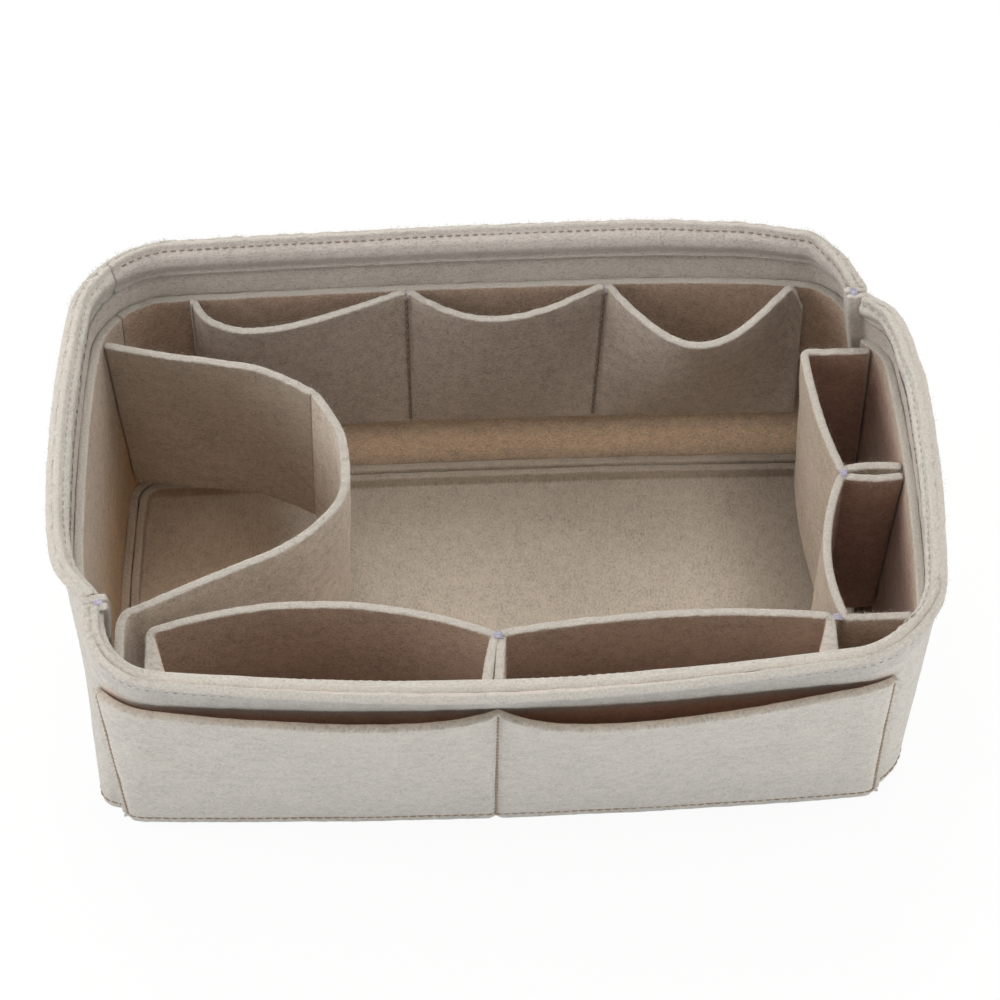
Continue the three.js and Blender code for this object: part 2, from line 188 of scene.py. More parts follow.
class InsertSizes(bpy.types.PropertyGroup):
    """Sizes of the insert, as its solid model has them."""

    felt: length("Felt", "Thickness of the felt", 3)
    seam_gap: length("Seam gap", "Play between two layers sewn face to face", 0.3)
    flange: length("Flange", "How far a corner seam stands into the insert", 5.5)
    height: length("Height", "Outer edge of the rim above the underside", 114)
    base_length: length("Base length", "Outside length at the base", 288)
    base_depth: length("Base depth", "Outside depth at the base", 151.5)
    base_shift: length("Base shift", "How far the base stands back of the middle of the rim", 1.25)
    base_corner: length("Base corner", "Corner radius at the base", 15)
    rim_length: length("Rim length", "Outside length at the rim", 300)
    rim_depth: length("Rim depth", "Outside depth at the rim", 194)
    rim_corner: length("Rim corner", "Corner radius at the rim", 28)
    side_bow: lengths("Side bow", "How far the ends bow out at the base and at the rim", 3, 9)
    front_bow: lengths("Front bow", "How far the front bows out at the base and at the rim", 4, 11)
    back_bow: lengths("Back bow", "How far the back bows out at the base and at the rim", 2, 3)
    back_pinch: length("Back seam pull", "How far the back right seam pulls the rim in", 12.5)
    back_reach: lengths("Back seam reach", "How far that pull carries before and after the seam", 8.5, 34)
    front_pinch: length("Front seam pull", "How far the front left seam pulls the rim in", 9)
    front_reach: lengths("Front seam reach", "How far that pull carries before and after the seam", 11.5, 24)
    facing_width: length("Facing width", "Band sewn inside the rim, measured upright", 9.5)
    lining_drop: length("Lining drop", "From the rim down to the cut edge of the lining", 18.5)
    lip_height: length("Lip height", "Turned-up edge of the floor and the welt behind it", 8)
    pocket_drop: length("Pocket drop", "From the cut edge of the lining down to the pockets", 1.5)
    pocket_foot: length("Pocket foot", "Underside of the box pockets and of the loop", 14)
    front_ends: lengths("Front pocket ends", "Where the gussets stand along the front", -116.5, -1.6, 108.5)
    front_foot: lengths("Front leaf foot", "Leaf from the rim at each gusset, at its foot", 42.5, 39.5, 41.5)
    front_mouth: lengths("Front leaf mouth", "Leaf from the rim at each gusset, at its mouth", 42.5, 37, 39.7)
    front_leaf_bow: lengths("Front leaf bow", "How far each front leaf bows in", 11, 4)
    side_ends: lengths("Side pocket ends", "Where the gussets stand along the right end", -58.5, 0.2, 53)
    side_foot: lengths("Side leaf foot", "Leaf from the rim at each gusset, at its foot", 35, 31.5, 34.5)
    side_mouth: lengths("Side leaf mouth", "Leaf from the rim at each gusset, at its mouth", 36.5, 31.7, 39)
    side_leaf_bow: lengths("Side leaf bow", "How far each side leaf bows in", 5.5, 1.5)
    back_foot: length("Back pocket foot", "Underside of the back pockets", 34)
    back_ends: lengths("Back pocket seams", "Seams along the back", -106, -29, 41.8, 110)
    back_gape: lengths("Back pocket gape", "How far each mouth stands out", 9, 8, 22)
    back_rise: length("Back pocket rise", "How far these pockets stand above the others at their seams", 3.8)
    back_scallop: length("Back pocket dip", "How far a mouth dips between its seams", 5.6)
    back_margin: length("Back pocket margin", "Felt sewn flat along each seam", 2)
    back_tail: length("Back pocket tail", "Free end of the right pocket beyond its seam", 3.5)
    loop_reach: length("Loop reach", "From the left lining to the nose of the bottle loop", 87)
    loop_back: length("Loop back space", "From the back lining to the back leg", 18)
    loop_front: length("Loop front space", "From the front lining to where the front leg turns in", 33)
    loop_lean: lengths("Loop lean", "How far the foot of the nose stands right and back", -3, 5)
    panel_drop: length("Panel drop", "From the rim down to the mouths of the slip pockets", 17.6)
    panel_gape: lengths("Panel gape", "How far each slip pocket's mouth stands off the wall", 5, 7.2)
    panel_foot: length("Panel foot", "Underside of the slip pockets", 0.6)
    edge_round: length("Edge rounding", "Rounding of a cut edge", 0.7)
    stitch: length("Stitch", "From one stitch to the next", 4.6)
    thread: length("Thread", "Thickness of the sewing thread", 0.75)


class InsertColours(bpy.types.PropertyGroup):
    """Colours of the felt, the threads and the stage."""

    # Outside, inside and floor felt are one felt in lit and shaded copies: the inside one is darker and
    # warmer as painted shade, the outside one cooler and the floor one paler and warmer as painted light
    outside: colour("Outside felt", "Felt of the walls, the rim and the slip pockets", 0.493, 0.466, 0.426)
    inside: colour("Inside felt", "Felt of the linings, the pockets and the loop", 0.467, 0.382, 0.304)
    tray: colour("Floor felt", "Felt of the floor and its welt", 0.546, 0.478, 0.404)
    cut: colour("Cut edge", "Pale core that shows where the felt is cut", 0.57, 0.534, 0.484)
    thread: colour("Dark thread", "Sewing thread on the back pockets", 0.19, 0.145, 0.11)
    brown_thread: colour("Brown thread", "Sewing thread inside the rim at the back", 0.26, 0.205, 0.16)
    tan_thread: colour("Tan thread", "Sewing thread on the slip pockets and the base", 0.3, 0.22, 0.15)
    pale_thread: colour("Pale thread", "Sewing thread on the rest of the rim", 0.42, 0.385, 0.34)
    tack: colour("Tack thread", "Thread of the bar tacks", 0.42, 0.4, 0.5)
    floor: colour("Floor", "Floor of the stage", 0.86, 0.86, 0.86)


def insert_shape(context):
    """Sizes of the insert with the depths and heights that follow from them."""
    sizes = context.scene.insert_sizes
    shape = SimpleNamespace(**{name: getattr(sizes, name) for name in InsertSizes.__annotations__})
    shape.layer = shape.felt + shape.seam_gap
    shape.lining_depth = shape.layer
    shape.lining_face = shape.lining_depth + shape.felt
    shape.welt_depth = 2 * shape.layer
    shape.lip_depth = 3 * shape.layer
    shape.lining_top = shape.height - shape.lining_drop
    shape.pocket_top = shape.lining_top - shape.pocket_drop
    return shape


def mix(start, end, share):
    """Straight blend: the start at share 0 and the end at share 1."""
    return start + (end - start) * share


def smooth(low, high, value):
    """Soft step from 0 at the low end to 1 at the high end: three squares less two cubes."""
    share = np.clip((value - low) / (high - low), 0, 1)
    return share * share * (3 - 2 * share)


def unit(vectors):
    """Each vector divided by its own length."""
    return vectors / np.maximum(np.linalg.norm(vectors, axis=-1, keepdims=True), TINY)


def travel(points):
    """Running distance along the first axis of a line of points."""
    steps = np.linalg.norm(np.diff(points, axis=0), axis=-1)
    return np.concatenate([[0], np.cumsum(steps)])


def flare(share, lean):
    """Outward travel at a share of the height: a straight lean plus a roll that grows with a high power."""
    return lean * share + (1 - lean) * share**ROLL_POWER


def wall_outline(shape, z):
    """Half sizes, corner radius and bows of the wall at a height, each run from base to rim by the flare."""
    share = z / shape.height
    along = flare(share, LENGTH_LEAN)
    across = flare(share, DEPTH_LEAN)
    line = SimpleNamespace()
    line.side_bow = mix(*shape.side_bow, along)
    line.front_bow = mix(*shape.front_bow, across)
    line.back_bow = mix(*shape.back_bow, across)
    depth = mix(shape.base_depth, shape.rim_depth, across)
    line.half_length = mix(shape.base_length, shape.rim_length, along) / 2 - line.side_bow
    line.half_front = depth / 2 - line.front_bow
    line.half_back = depth / 2 - line.back_bow
    line.corner = mix(shape.base_corner, shape.rim_corner, share)
    line.shift = mix(shape.base_shift, 0, across)
    return line


def straight_plan(line, station):
    """Rounded rectangle: even sections turn a quarter round a corner, odd ones run straight to the next."""
    turn = np.mod(station, FULL_TURN)
    section = np.floor(turn).astype(int)
    share = turn - section
    quarter = section // 2
    right = line.half_length - line.corner
    front = line.corner - line.half_front
    back = line.half_back - line.corner

    def centre(corner):
        """Centre of a corner's curve: to the right on two corners, and to the front on two."""
        x = np.where((corner == 1) | (corner == 2), right, -right)
        return x, np.where(corner < 2, front, back)

    curved = section % 2 == 0
    angle = np.pi + QUARTER_TURN * (quarter + np.where(curved, share, 1))
    ahead = np.where(curved, 0, share)
    near = centre(quarter)
    far = centre((quarter + 1) % 4)
    x = mix(near[0], far[0], ahead) + line.corner * np.cos(angle)
    y = mix(near[1], far[1], ahead) + line.corner * np.sin(angle)
    return x, y


def wall_plan(shape, station, z):
    """Plan of the wall: the rounded rectangle with each side bowed out as a parabola between its corners."""
    line = wall_outline(shape, z)
    x, y = straight_plan(line, station)
    half = np.where(y < 0, line.half_front, line.half_back)
    bow = np.where(y < 0, line.front_bow, line.back_bow)
    out_x = x + line.side_bow * (1 - (y / half) ** 2) * (x / line.half_length)
    out_y = y + bow * (1 - (x / line.half_length) ** 2) * (y / half) + line.shift
    return np.stack(np.broadcast_arrays(out_x, out_y), axis=-1)


def seam_pull(shape, station, z):
    """Inward pull of the two corner seams: a bell of the plan distance to each, fading down the wall."""
    here = wall_plan(shape, station, z)
    turn = np.mod(station, FULL_TURN)

    def bell(seam, before, reach):
        """1 at the seam, falling off as e to minus the square of the distance over the reach on that side."""
        away = np.linalg.norm(here - wall_plan(shape, seam, z), axis=-1)
        return np.exp(-((away / np.where(before, reach[0], reach[1])) ** 2))

    back = shape.back_pinch * bell(BACK_RIGHT_SEAM, turn < BACK_RIGHT_SEAM, shape.back_reach)
    front = shape.front_pinch * bell(FRONT_LEFT_SEAM, turn > BACK_RIGHT_SEAM, shape.front_reach)
    return (np.maximum(z, 0) / shape.height) ** PINCH_POWER * (back + front)


def rim_roll(shape, station, z):
    """Outward roll of the rim: eased from one set station to the next, with a high power of the height."""
    turn = np.mod(station, FULL_TURN)
    at = np.clip(np.searchsorted(ROLL_STATIONS, turn, side="right") - 1, 0, len(ROLL_STATIONS) - 2)
    share = smooth(ROLL_STATIONS[at], ROLL_STATIONS[at + 1], turn)
    reach = mix(ROLL_REACH[at], ROLL_REACH[at + 1], share)
    return reach * (np.maximum(z, 0) / shape.height) ** LIP_POWER


def foot_bulge(station, z):
    """Outward bulge low on the front left corner: a bell along the wall times a bell up from the foot."""
    away = (np.mod(station, FULL_TURN) - BULGE_STATION) / BULGE_SPREAD
    return BULGE_REACH * np.exp(-(away**2) - (z / BULGE_HEIGHT) ** 2)


def wall_direction(shape, station, z):
    """Unit direction along the wall, from the plan a small step ahead less the plan a small step behind."""
    ahead = wall_plan(shape, station + STATION_STEP, z)
    return unit(ahead - wall_plan(shape, station - STATION_STEP, z))


def level_point(shape, station, z, inward):
    """Point of the wall moved level inwards by a distance and the seams' pull, less the roll and bulge."""
    along = wall_direction(shape, station, z)
    plan = wall_plan(shape, station, z)
    level = inward + seam_pull(shape, station, z) - rim_roll(shape, station, z) - foot_bulge(station, z)
    x = plan[..., 0] - along[..., 1] * level
    y = plan[..., 1] + along[..., 0] * level
    return np.stack(np.broadcast_arrays(x, y, z), axis=-1)


def wall_lean(shape, station, z):
    """Angle of the wall from upright: its outward travel over a small step of height."""
    above = level_point(shape, station, z + HEIGHT_STEP, 0)
    rise = above - level_point(shape, station, z - HEIGHT_STEP, 0)
    along = wall_direction(shape, station, z)
    out = rise[..., 0] * along[..., 1] - rise[..., 1] * along[..., 0]
    return np.arctan2(out, rise[..., 2])


def wall_point(shape, station, z, depth):
    """Point at a depth from the outside of the wall, square to it: level by the cosine, up by the sine."""
    lean = wall_lean(shape, station, z)
    point = level_point(shape, station, z, depth * np.cos(lean))
    point[..., 2] += depth * np.sin(lean)
    return point


def lined_point(shape, station, height):
    """Point of the lining's face at a true height, by correcting the wall's height for its tilt."""
    z = height
    for _ in range(TILT_ROUNDS):
        z = height - shape.lining_face * np.sin(wall_lean(shape, station, z))
    return wall_point(shape, station, z, shape.lining_face)


def face_at(shape, side, axis, value, height):
    """Point of the lining on one side whose x or y is a given value, found by halving the stations."""
    value, height = np.broadcast_arrays(value, height)
    low = np.full(value.shape, WALL_SPANS[side][0])
    high = np.full(value.shape, WALL_SPANS[side][1])
    rising = lined_point(shape, high, height)[..., axis] > lined_point(shape, low, height)[..., axis]
    for _ in range(HALVINGS):
        middle = (low + high) / 2
        ahead = (lined_point(shape, middle, height)[..., axis] < value) == rising
        low = np.where(ahead, middle, low)
        high = np.where(ahead, high, middle)
    return lined_point(shape, (low + high) / 2, height)


def front_face(shape, x, z):
    """How far back the front lining stands at x."""
    return face_at(shape, "front", 0, x, z)[..., 1]


def back_face(shape, x, z):
    """How far back the back lining stands at x."""
    return face_at(shape, "back", 0, x, z)[..., 1]


def right_face(shape, y, z):
    """How far right the right lining stands at y."""
    return face_at(shape, "right", 1, y, z)[..., 0]


def left_face(shape, y, z):
    """How far right the left lining stands at y."""
    return face_at(shape, "left", 1, y, z)[..., 0]


# How much of the pale core shows at a sheet's foot, top, start and finish
ALL_CUT = (1, 1, 1, 1)


def steps_over(distance, step):
    """Shares from 0 to 1 in even steps, with finer ones close to each end for the rounding there."""
    ends = END_STEPS / distance
    inner = np.linspace(ends[-1], 1 - ends[-1], max(int(distance / step), FEWEST_STEPS))
    return np.concatenate([ends[:-1], inner, 1 - ends[-2::-1]])


def upright(shape, foot, top, rows=FACE_ROWS, edge=FREE_EDGE):
    """Heights of a sheet's rows, short of its foot and top by the rounding of the edges."""
    rounding = shape.edge_round * edge.times
    return np.linspace(foot + rounding, top - rounding, rows)


def waves(along, up, seed, shortest, longest):
    """Soft unevenness from -1 to 1: a mean of sine waves of drawn lengths, bearings and phases."""
    draw = np.random.default_rng(seed)
    number = 2 * np.pi / draw.uniform(shortest, longest, WAVE_COUNT)
    bearing = draw.uniform(0, np.pi, WAVE_COUNT)
    phase = draw.uniform(0, 2 * np.pi, WAVE_COUNT)
    across = along[..., None] * np.cos(bearing) + up[..., None] * np.sin(bearing)
    return np.sin(across * number + phase).mean(axis=-1)


def sheet_section(rows, edge):
    """One turn round a sheet's section: up one face, over the edge, down the other and under.

    Gives for each point the row it belongs to, its share across the thickness from -1 to 1, and its rise
    beyond the row as a share of the rounding: the edge is a rounded square, a power curve of the share.
    """
    angle = np.pi * np.arange(1, EDGE_STEPS) / EDGE_STEPS
    power = np.where(np.cos(angle) > 0, edge.outer, edge.inner)
    side = np.sign(np.cos(angle)) * np.abs(np.cos(angle)) ** (2 / power)
    rise = np.sin(angle) ** (2 / power)
    half = len(angle) // 2
    up = np.arange(rows)
    top = np.full(len(angle), rows - 1)
    foot = np.zeros(len(angle), int)
    flat = np.ones(rows)
    row = np.concatenate([foot[half:], up, top, up[::-1], foot[:half]])
    under = -edge.foot * rise[::-1]
    across = np.concatenate([-side[half:], flat, side, -flat, -side[:half]])
    lift = np.concatenate([under[half:], 0 * flat, rise, 0 * flat, under[:half]])
    return row, across, lift


def ends_tapered(count, ring):
    """Share of the full thickness along a sheet, a little less at its two open ends."""
    taper = np.ones(count)
    if not ring:
        taper[: len(END_TAPER)] = END_TAPER
        taper[-len(END_TAPER) :] = END_TAPER[::-1]
    return taper[:, None]


def around(grid, ring, step):
    """Change of a grid along its first axis, wrapped where the sheet is a ring."""
    if not ring:
        return np.gradient(grid, axis=0)
    return np.roll(grid, -step, axis=0) - np.roll(grid, step, axis=0)


def sheet_normals(middle, ring):
    """Unit normal and unit upward direction of a grid: along crossed with up, and the change up the grid."""
    along = around(middle, ring, 1)
    up = unit(np.gradient(middle, axis=1))
    return unit(np.cross(along, up)), up


def thicken(shape, middle, ring, seed, outer, inner, edge):
    """Surface of a felt sheet: the middle grid moved along its normal by half the felt on each side.

    The grid first gets a soft unevenness along the normal, and the edges rise and fall a little on their own.
    """
    run = travel(middle[:, middle.shape[1] // 2])
    rise = travel(middle[middle.shape[0] // 2])
    normal, up = sheet_normals(middle, ring)
    calm = 1 if edge.foot else smooth(0, POLE_CALM, rise[None, :])
    sway = FELT_SWAY * calm * waves(run[:, None], rise[None, :], seed, *SWAY_LENGTHS)
    ragged = FELT_RAG * waves(run[:, None], rise[None, :], seed + 1, *RAG_LENGTHS)
    row, across, lift = sheet_section(middle.shape[1], edge)
    fuller = np.where(across > 0, outer[:, row], inner[:, row])
    half = (shape.felt / 2 + fuller) * ends_tapered(len(middle), ring)
    base = middle + normal * sway[..., None]
    over = lift * (shape.edge_round * edge.times + ragged[:, row])
    return base[:, row] + normal[:, row] * (half * across)[..., None] + up[:, row] * over[..., None]


def sheet_quads(count, loop, ring):
    """Quads between neighbouring sections, and across the thickness at each open end."""
    here = np.arange(count if ring else count - 1)[:, None]
    spot = np.arange(loop)[None, :]
    after = (spot + 1) % loop
    following = (here + 1) % count
    corners = (here * loop + spot, following * loop + spot, following * loop + after, here * loop + after)
    quads = np.stack(np.broadcast_arrays(*corners), axis=-1).reshape(-1, 4)
    if ring:
        return quads
    rung = np.arange(loop // 2 - 1)
    start = np.stack([rung, rung + 1, loop - 2 - rung, loop - 1 - rung], axis=-1)
    finish = start[:, ::-1] + (count - 1) * loop
    return np.concatenate([quads, start, finish])


def outward(points, faces):
    """The faces, all turned round if the volume they enclose comes out negative."""
    corners = points[faces]
    fan = np.cross(corners[:, 1:-1], corners[:, 2:]).sum(axis=1)
    volume = (corners[:, 0] * fan).sum()
    return faces if volume > 0 else faces[:, ::-1]


def new_mesh(name, points, faces, uv=None, cut=None, tint=None):
    """Smooth mesh with a pattern map in metres, and a share of cut edge and a tint of painted light and shade
    for each point.
    """
    mesh = bpy.data.meshes.new(name)
    mesh.from_pydata(points.astype(float), [], outward(points, faces))
    corners = np.empty(len(mesh.loops), int)
    mesh.loops.foreach_get("vertex_index", corners)
    if uv is not None:
        layer = mesh.uv_layers.new(name="felt_map")
        layer.data.foreach_set("uv", uv[corners].ravel())
    if cut is not None:
        shares = mesh.attributes.new("cut", "FLOAT", "POINT")
        shares.data.foreach_set("value", cut.astype(np.float32))
    if tint is not None:
        tints = mesh.attributes.new("tint", "FLOAT_VECTOR", "POINT")
        tints.data.foreach_set("vector", tint.astype(np.float32).ravel())
    mesh.polygons.foreach_set("use_smooth", np.ones(len(mesh.polygons), bool))
    mesh.update()
    return mesh


def sheet_map(surface, seed):
    """Pattern map of a sheet: distance along it and distance round its section, started at a drawn place."""
    place = np.random.default_rng(seed).uniform(0, 1, 2)
    along = travel(surface.mean(axis=1))
    round_it = travel(surface[len(surface) // 2])
    grid = np.stack(np.broadcast_arrays(along[:, None], round_it[None, :]), axis=-1)
    return (grid + place).reshape(-1, 2)


def cut_shares(count, rows, cut, edge):
    """Share of cut edge at each point: the rise of its rounding where that edge is cut, or 1 at a cut end."""
    foot, top, start, finish = cut
    _, _, lift = sheet_section(rows, edge)
    shares = np.where(lift > 0, top * lift, -foot * lift)
    shares = np.repeat(np.clip(shares, 0, 1)[None, :], count, axis=0)
    ends = len(END_TAPER)
    shares[:ends] = np.maximum(shares[:ends], start)
    shares[-ends:] = np.maximum(shares[-ends:], finish)
    return shares.ravel()


def add_object(context, name, mesh, material):
    """Object of the insert at the origin, riding on its body."""
    piece = bpy.data.objects.new(name, mesh)
    mesh.materials.append(material)
    context.scene.collection.objects.link(piece)
    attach(piece, BODY)
    return piece


def toned(share, tone):
    """Tint that runs from none to a tone by a share."""
    return 1 + share[..., None] * (np.array(tone) - 1)


def plain_tint(points, outside):
    """No tint anywhere."""
    return np.ones(points.shape)


def even_tint(tone):
    """One tint all over a sheet."""
    return lambda points, outside: np.broadcast_to(np.array(tone), points.shape)


def add_felt(context, node, middle, side="inside", tint=plain_tint, cut=ALL_CUT, edge=FREE_EDGE, **more):
    """Felt sheet that stands for a solid of the frame.

    It may be a ring, have a pattern map of its own, and be fuller on its outer and on its inner face by
    amounts for each point of its grid.
    """
    shape = insert_shape(context)
    seed = sum(node.encode())
    rows = middle.shape[1]
    ring = more.get("ring", False)
    outer, inner = (np.broadcast_to(more.get(face, 0), middle.shape[:2]) for face in ("outer", "inner"))
    surface = thicken(shape, middle, ring, seed, outer, inner, edge)
    count, loop = surface.shape[:2]
    _, across, _ = sheet_section(rows, edge)
    mesh = new_mesh(
        "felt_" + node,
        surface.reshape(-1, 3),
        sheet_quads(count, loop, ring),
        more.get("pattern", sheet_map)(surface, seed),
        cut_shares(count, rows, cut, edge),
        tint(surface, np.broadcast_to(across > 0, surface.shape[:2])),
    )
    piece = add_object(context, "felt_" + node, mesh, felt_finish(context, side))
    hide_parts(node)
    return piece


# Sockets of a mix of two colours, by number
MIX_SHARE = 0
MIX_FIRST = 6
MIX_SECOND = 7
MIX_RESULT = 2


class Finish:
    """Node tree of one finish, with a short call that adds a node and joins it up."""

    def __init__(self, name):
        """New material of a name, with its nodes."""
        self.material = bpy.data.materials.new(name)
        self.material.use_nodes = True
        self.tree = self.material.node_tree
        self.surface = self.tree.nodes["Principled BSDF"]

    def put(self, socket, value):
        """Joins a socket to another one, or sets its value."""
        if isinstance(value, bpy.types.NodeSocket):
            self.tree.links.new(value, socket)
        else:
            socket.default_value = value

    def add(self, kind, inputs=None, **settings):
        """New node with its settings, and its inputs joined or set by name or number."""
        made = self.tree.nodes.new(kind)
        for name, value in settings.items():
            setattr(made, name, value)
        for name, value in (inputs or {}).items():
            self.put(made.inputs[name], value)
        return made

    def noise(self, vector, grain):
        """Noise from 0 to 1 with the cells, detail, roughness and distortion of a grain."""
        inputs = {"Vector": vector, "Scale": grain.cells, "Detail": grain.detail}
        inputs |= {"Roughness": grain.roughness, "Distortion": grain.distortion}
        return self.add("ShaderNodeTexNoise", inputs).outputs["Fac"]

    def stretched(self, vector, scale):
        """The pattern map at so many cells a metre along and up."""
        return self.add("ShaderNodeMapping", {"Vector": vector, "Scale": scale}).outputs["Vector"]

    def sums(self, *parts):
        """Sum of values, each times its weight."""
        total = None
        for value, weight in parts:
            share = self.add("ShaderNodeMath", {0: value, 1: weight}, operation="MULTIPLY").outputs[0]
            if total is None:
                total = share
            else:
                total = self.add("ShaderNodeMath", {0: total, 1: share}, operation="ADD").outputs[0]
        return total

    def ramp(self, value, *stops):
        """Colours or greys at places from 0 to 1."""
        made = self.add("ShaderNodeValToRGB", {"Fac": value})
        elements = made.color_ramp.elements
        while len(elements) < len(stops):
            elements.new(1)
        for element, (place, shade) in zip(elements, stops):
            element.position = place
            element.color = shade
        return made.outputs["Color"]

    def blend(self, share, first, second, kind="MIX"):
        """One colour over another by a share."""
        inputs = {MIX_SHARE: share, MIX_FIRST: first, MIX_SECOND: second}
        made = self.add("ShaderNodeMix", inputs, data_type="RGBA", blend_type=kind)
        return made.outputs[MIX_RESULT]

    def relief(self, depth, height):
        """Normal of a surface with small heights, by the strength and distance of a depth."""
        return self.add("ShaderNodeBump", {**depth, "Height": height}).outputs["Normal"]

    def dress(self, inputs):
        """Joins or sets inputs of the surface by name."""
        for name, value in inputs.items():
            self.put(self.surface.inputs[name], value)


def opaque(shade):
    """Colour with full cover."""
    return (*shade, 1)


def grey(level):
    """Grey of one level with full cover."""
    return (level, level, level, 1)


# Darkest and palest tone of each felt and the tone of its cut edge, which is darker inside and on the floor
# as painted shade, and where its three tones stand in the grain
Tones = namedtuple("Tones", "dark pale cut")
FELT_TONES = {
    "outside": Tones(0.6, 1.24, 0.96),
    "inside": Tones(0.52, 1.42, 0.88),
    "tray": Tones(0.58, 1.28, 0.8),
}
TONE_PLACES = (0.34, 0.5, 0.68)

# Grain of felt and thread: cells a metre, detail, roughness and distortion, and its weight in the tone
Grain = namedtuple("Grain", "cells detail roughness distortion weight")
FIBRE_STRETCH = (750, 1500, 1)
FIBRES = Grain(1, 3, 0.6, 0.6, 0.33)
SPECKS = Grain(1150, 3, 0.6, 0, 0.36)
MOTTLE = Grain(260, 3, 0.55, 0, 0.22)
CLOUDS = Grain(60, 2, 0.5, 0, 0.09)
TWIST = Grain(1800, 2, 0.6, 0, 1)

# Levels of the specks on a cut edge and of a thread's twist, depths of their relief, and their sheen
CUT_SPECKS = ((0.3, 0.78), (0.62, 1))
TWIST_LEVELS = ((0.3, 0.6), (0.7, 1.15))
NAP_SHARE = 0.5
NAP_DEPTH = {"Strength": 0.55, "Distance": 0.9 * MM}
TWIST_DEPTH = {"Strength": 0.4, "Distance": 0.2 * MM}
FELT_SHEEN = {"Roughness": 1, "Specular IOR Level": 0.1, "Sheen Weight": 0.12, "Sheen Roughness": 0.45}
THREAD_SHEEN = {"Roughness": 0.7}


def shaded(shade, times):
    """Colour made darker or paler by one factor, with full cover."""
    return opaque(np.clip(np.array(shade) * times, 0, 1))


def greys(levels):
    """Stops of a ramp from places and levels of grey."""
    return [(place, grey(level)) for place, level in levels]


def felt_finish(context, side):
    """Needled felt: fibres along the sheet over a mottled ground, paler cut edges and a soft sheen."""
    name = "felt_" + side
    known = bpy.data.materials.get(name)
    if known:
        return known
    colours = context.scene.insert_colours
    # The ground colour of each side is one of the lit and shaded copies of one felt, so it holds painted
    # light and shade
    ground = getattr(colours, side)
    kind = FELT_TONES[side]
    finish = Finish(name)
    pattern = finish.add("ShaderNodeTexCoord").outputs["UV"]
    fibres = finish.noise(finish.stretched(pattern, FIBRE_STRETCH), FIBRES)
    specks, mottle, clouds = (finish.noise(pattern, grain) for grain in (SPECKS, MOTTLE, CLOUDS))
    weights = (grain.weight for grain in (FIBRES, SPECKS, MOTTLE, CLOUDS))
    tone = finish.sums(*zip((fibres, specks, mottle, clouds), weights))
    stops = zip(TONE_PLACES, (kind.dark, 1, kind.pale))
    face = finish.ramp(tone, *((place, shaded(ground, times)) for place, times in stops))
    # The tint attribute multiplies painted light and shade into the felt's colour
    tint = finish.add("ShaderNodeAttribute", attribute_name="tint").outputs["Vector"]
    tinted = finish.blend(1.0, face, tint, "MULTIPLY")
    core = finish.ramp(specks, *greys(CUT_SPECKS))
    edge = finish.blend(1.0, shaded(colours.cut, kind.cut), core, "MULTIPLY")
    share = finish.add("ShaderNodeAttribute", attribute_name="cut").outputs["Fac"]
    nap = finish.sums((fibres, NAP_SHARE), (specks, NAP_SHARE))
    finish.dress({"Base Color": finish.blend(share, tinted, edge), "Normal": finish.relief(NAP_DEPTH, nap)})
    finish.dress(FELT_SHEEN)
    return finish.material


def thread_finish(name, shade):
    """Twisted thread: small changes of tone with a relief to match, and a faint gloss."""
    finish = Finish(name)
    twist = finish.noise(finish.add("ShaderNodeTexCoord").outputs["Object"], TWIST)
    tones = finish.ramp(twist, *greys(TWIST_LEVELS))
    colour_out = finish.blend(1.0, opaque(shade), tones, "MULTIPLY")
    finish.dress({"Base Color": colour_out, "Normal": finish.relief(TWIST_DEPTH, twist)})
    finish.dress(THREAD_SHEEN)
    return finish.material


# Fold where a wall strip turns in at a corner seam, and shares of the wall's height for its rows
FOLD = 1.7 * MM
FOLD_STEPS = 7
FLANGE_STEPS = 9
WALL_SHARES = np.concatenate([np.linspace(0, 0.68, 12), np.linspace(0.72, 1, 24)])


def seam_station(shape, seam, distance, z):
    """Station at a distance along the wall from a seam at each height: the distance over the wall's speed."""
    step = SEAM_STEP * np.sign(distance)
    speed = np.linalg.norm(wall_plan(shape, seam + step, z) - wall_plan(shape, seam, z), axis=-1)
    return seam + step * np.abs(distance) / speed


def folded_flange(shape, seam, side, z, corner):
    """End of a wall strip turned in at a seam: straight in from its fold, less far near the floor."""
    along = wall_direction(shape, seam, z) * side * corner
    reach = mix(FOLD, shape.flange + shape.felt / 2, smooth(shape.lip_height, 2 * shape.lip_height, z))
    share = np.linspace(0, 1, FLANGE_STEPS)[:, None]
    depth = shape.felt / 2 + mix(FOLD, reach, share)
    points = level_point(shape, seam, z[None, :], depth)
    points[..., :2] += along
    turn = level_point(shape, seam, z, shape.felt / 2)
    turn[..., :2] += along
    return points, turn


def rounded_turn(before, turn, after, steps):
    """Corner eased from one point to another: a parabola drawn by the corner."""
    share = np.linspace(0, 1, steps)[1:-1, None, None]
    return (1 - share) ** 2 * before + 2 * share * (1 - share) * turn + share**2 * after


def wall_middle(shape, start, finish):
    """Middle of a wall strip: flange, fold, wall, fold and flange."""
    rounding = shape.edge_round * RIM_EDGE.times
    z = mix(rounding, shape.height - rounding, WALL_SHARES)
    corner = shape.felt / 2
    first = seam_station(shape, start, corner + FOLD, z)
    last = seam_station(shape, finish, -(corner + FOLD), z)
    rough = shape.rim_length + shape.rim_depth
    share = np.linspace(0, 1, int(rough / FINE_STEP))[:, None]
    wall = wall_point(shape, mix(first, last, share), z[None, :], shape.felt / 2)
    flange_in, turn_in = folded_flange(shape, start, 1, z, corner)
    flange_out, turn_out = folded_flange(shape, finish, -1, z, corner)
    fold_in = rounded_turn(flange_in[0], turn_in, wall[0], FOLD_STEPS)
    fold_out = rounded_turn(wall[-1], turn_out, flange_out[0], FOLD_STEPS)
    return np.concatenate([flange_in[::-1], fold_in, wall, fold_out, flange_out])
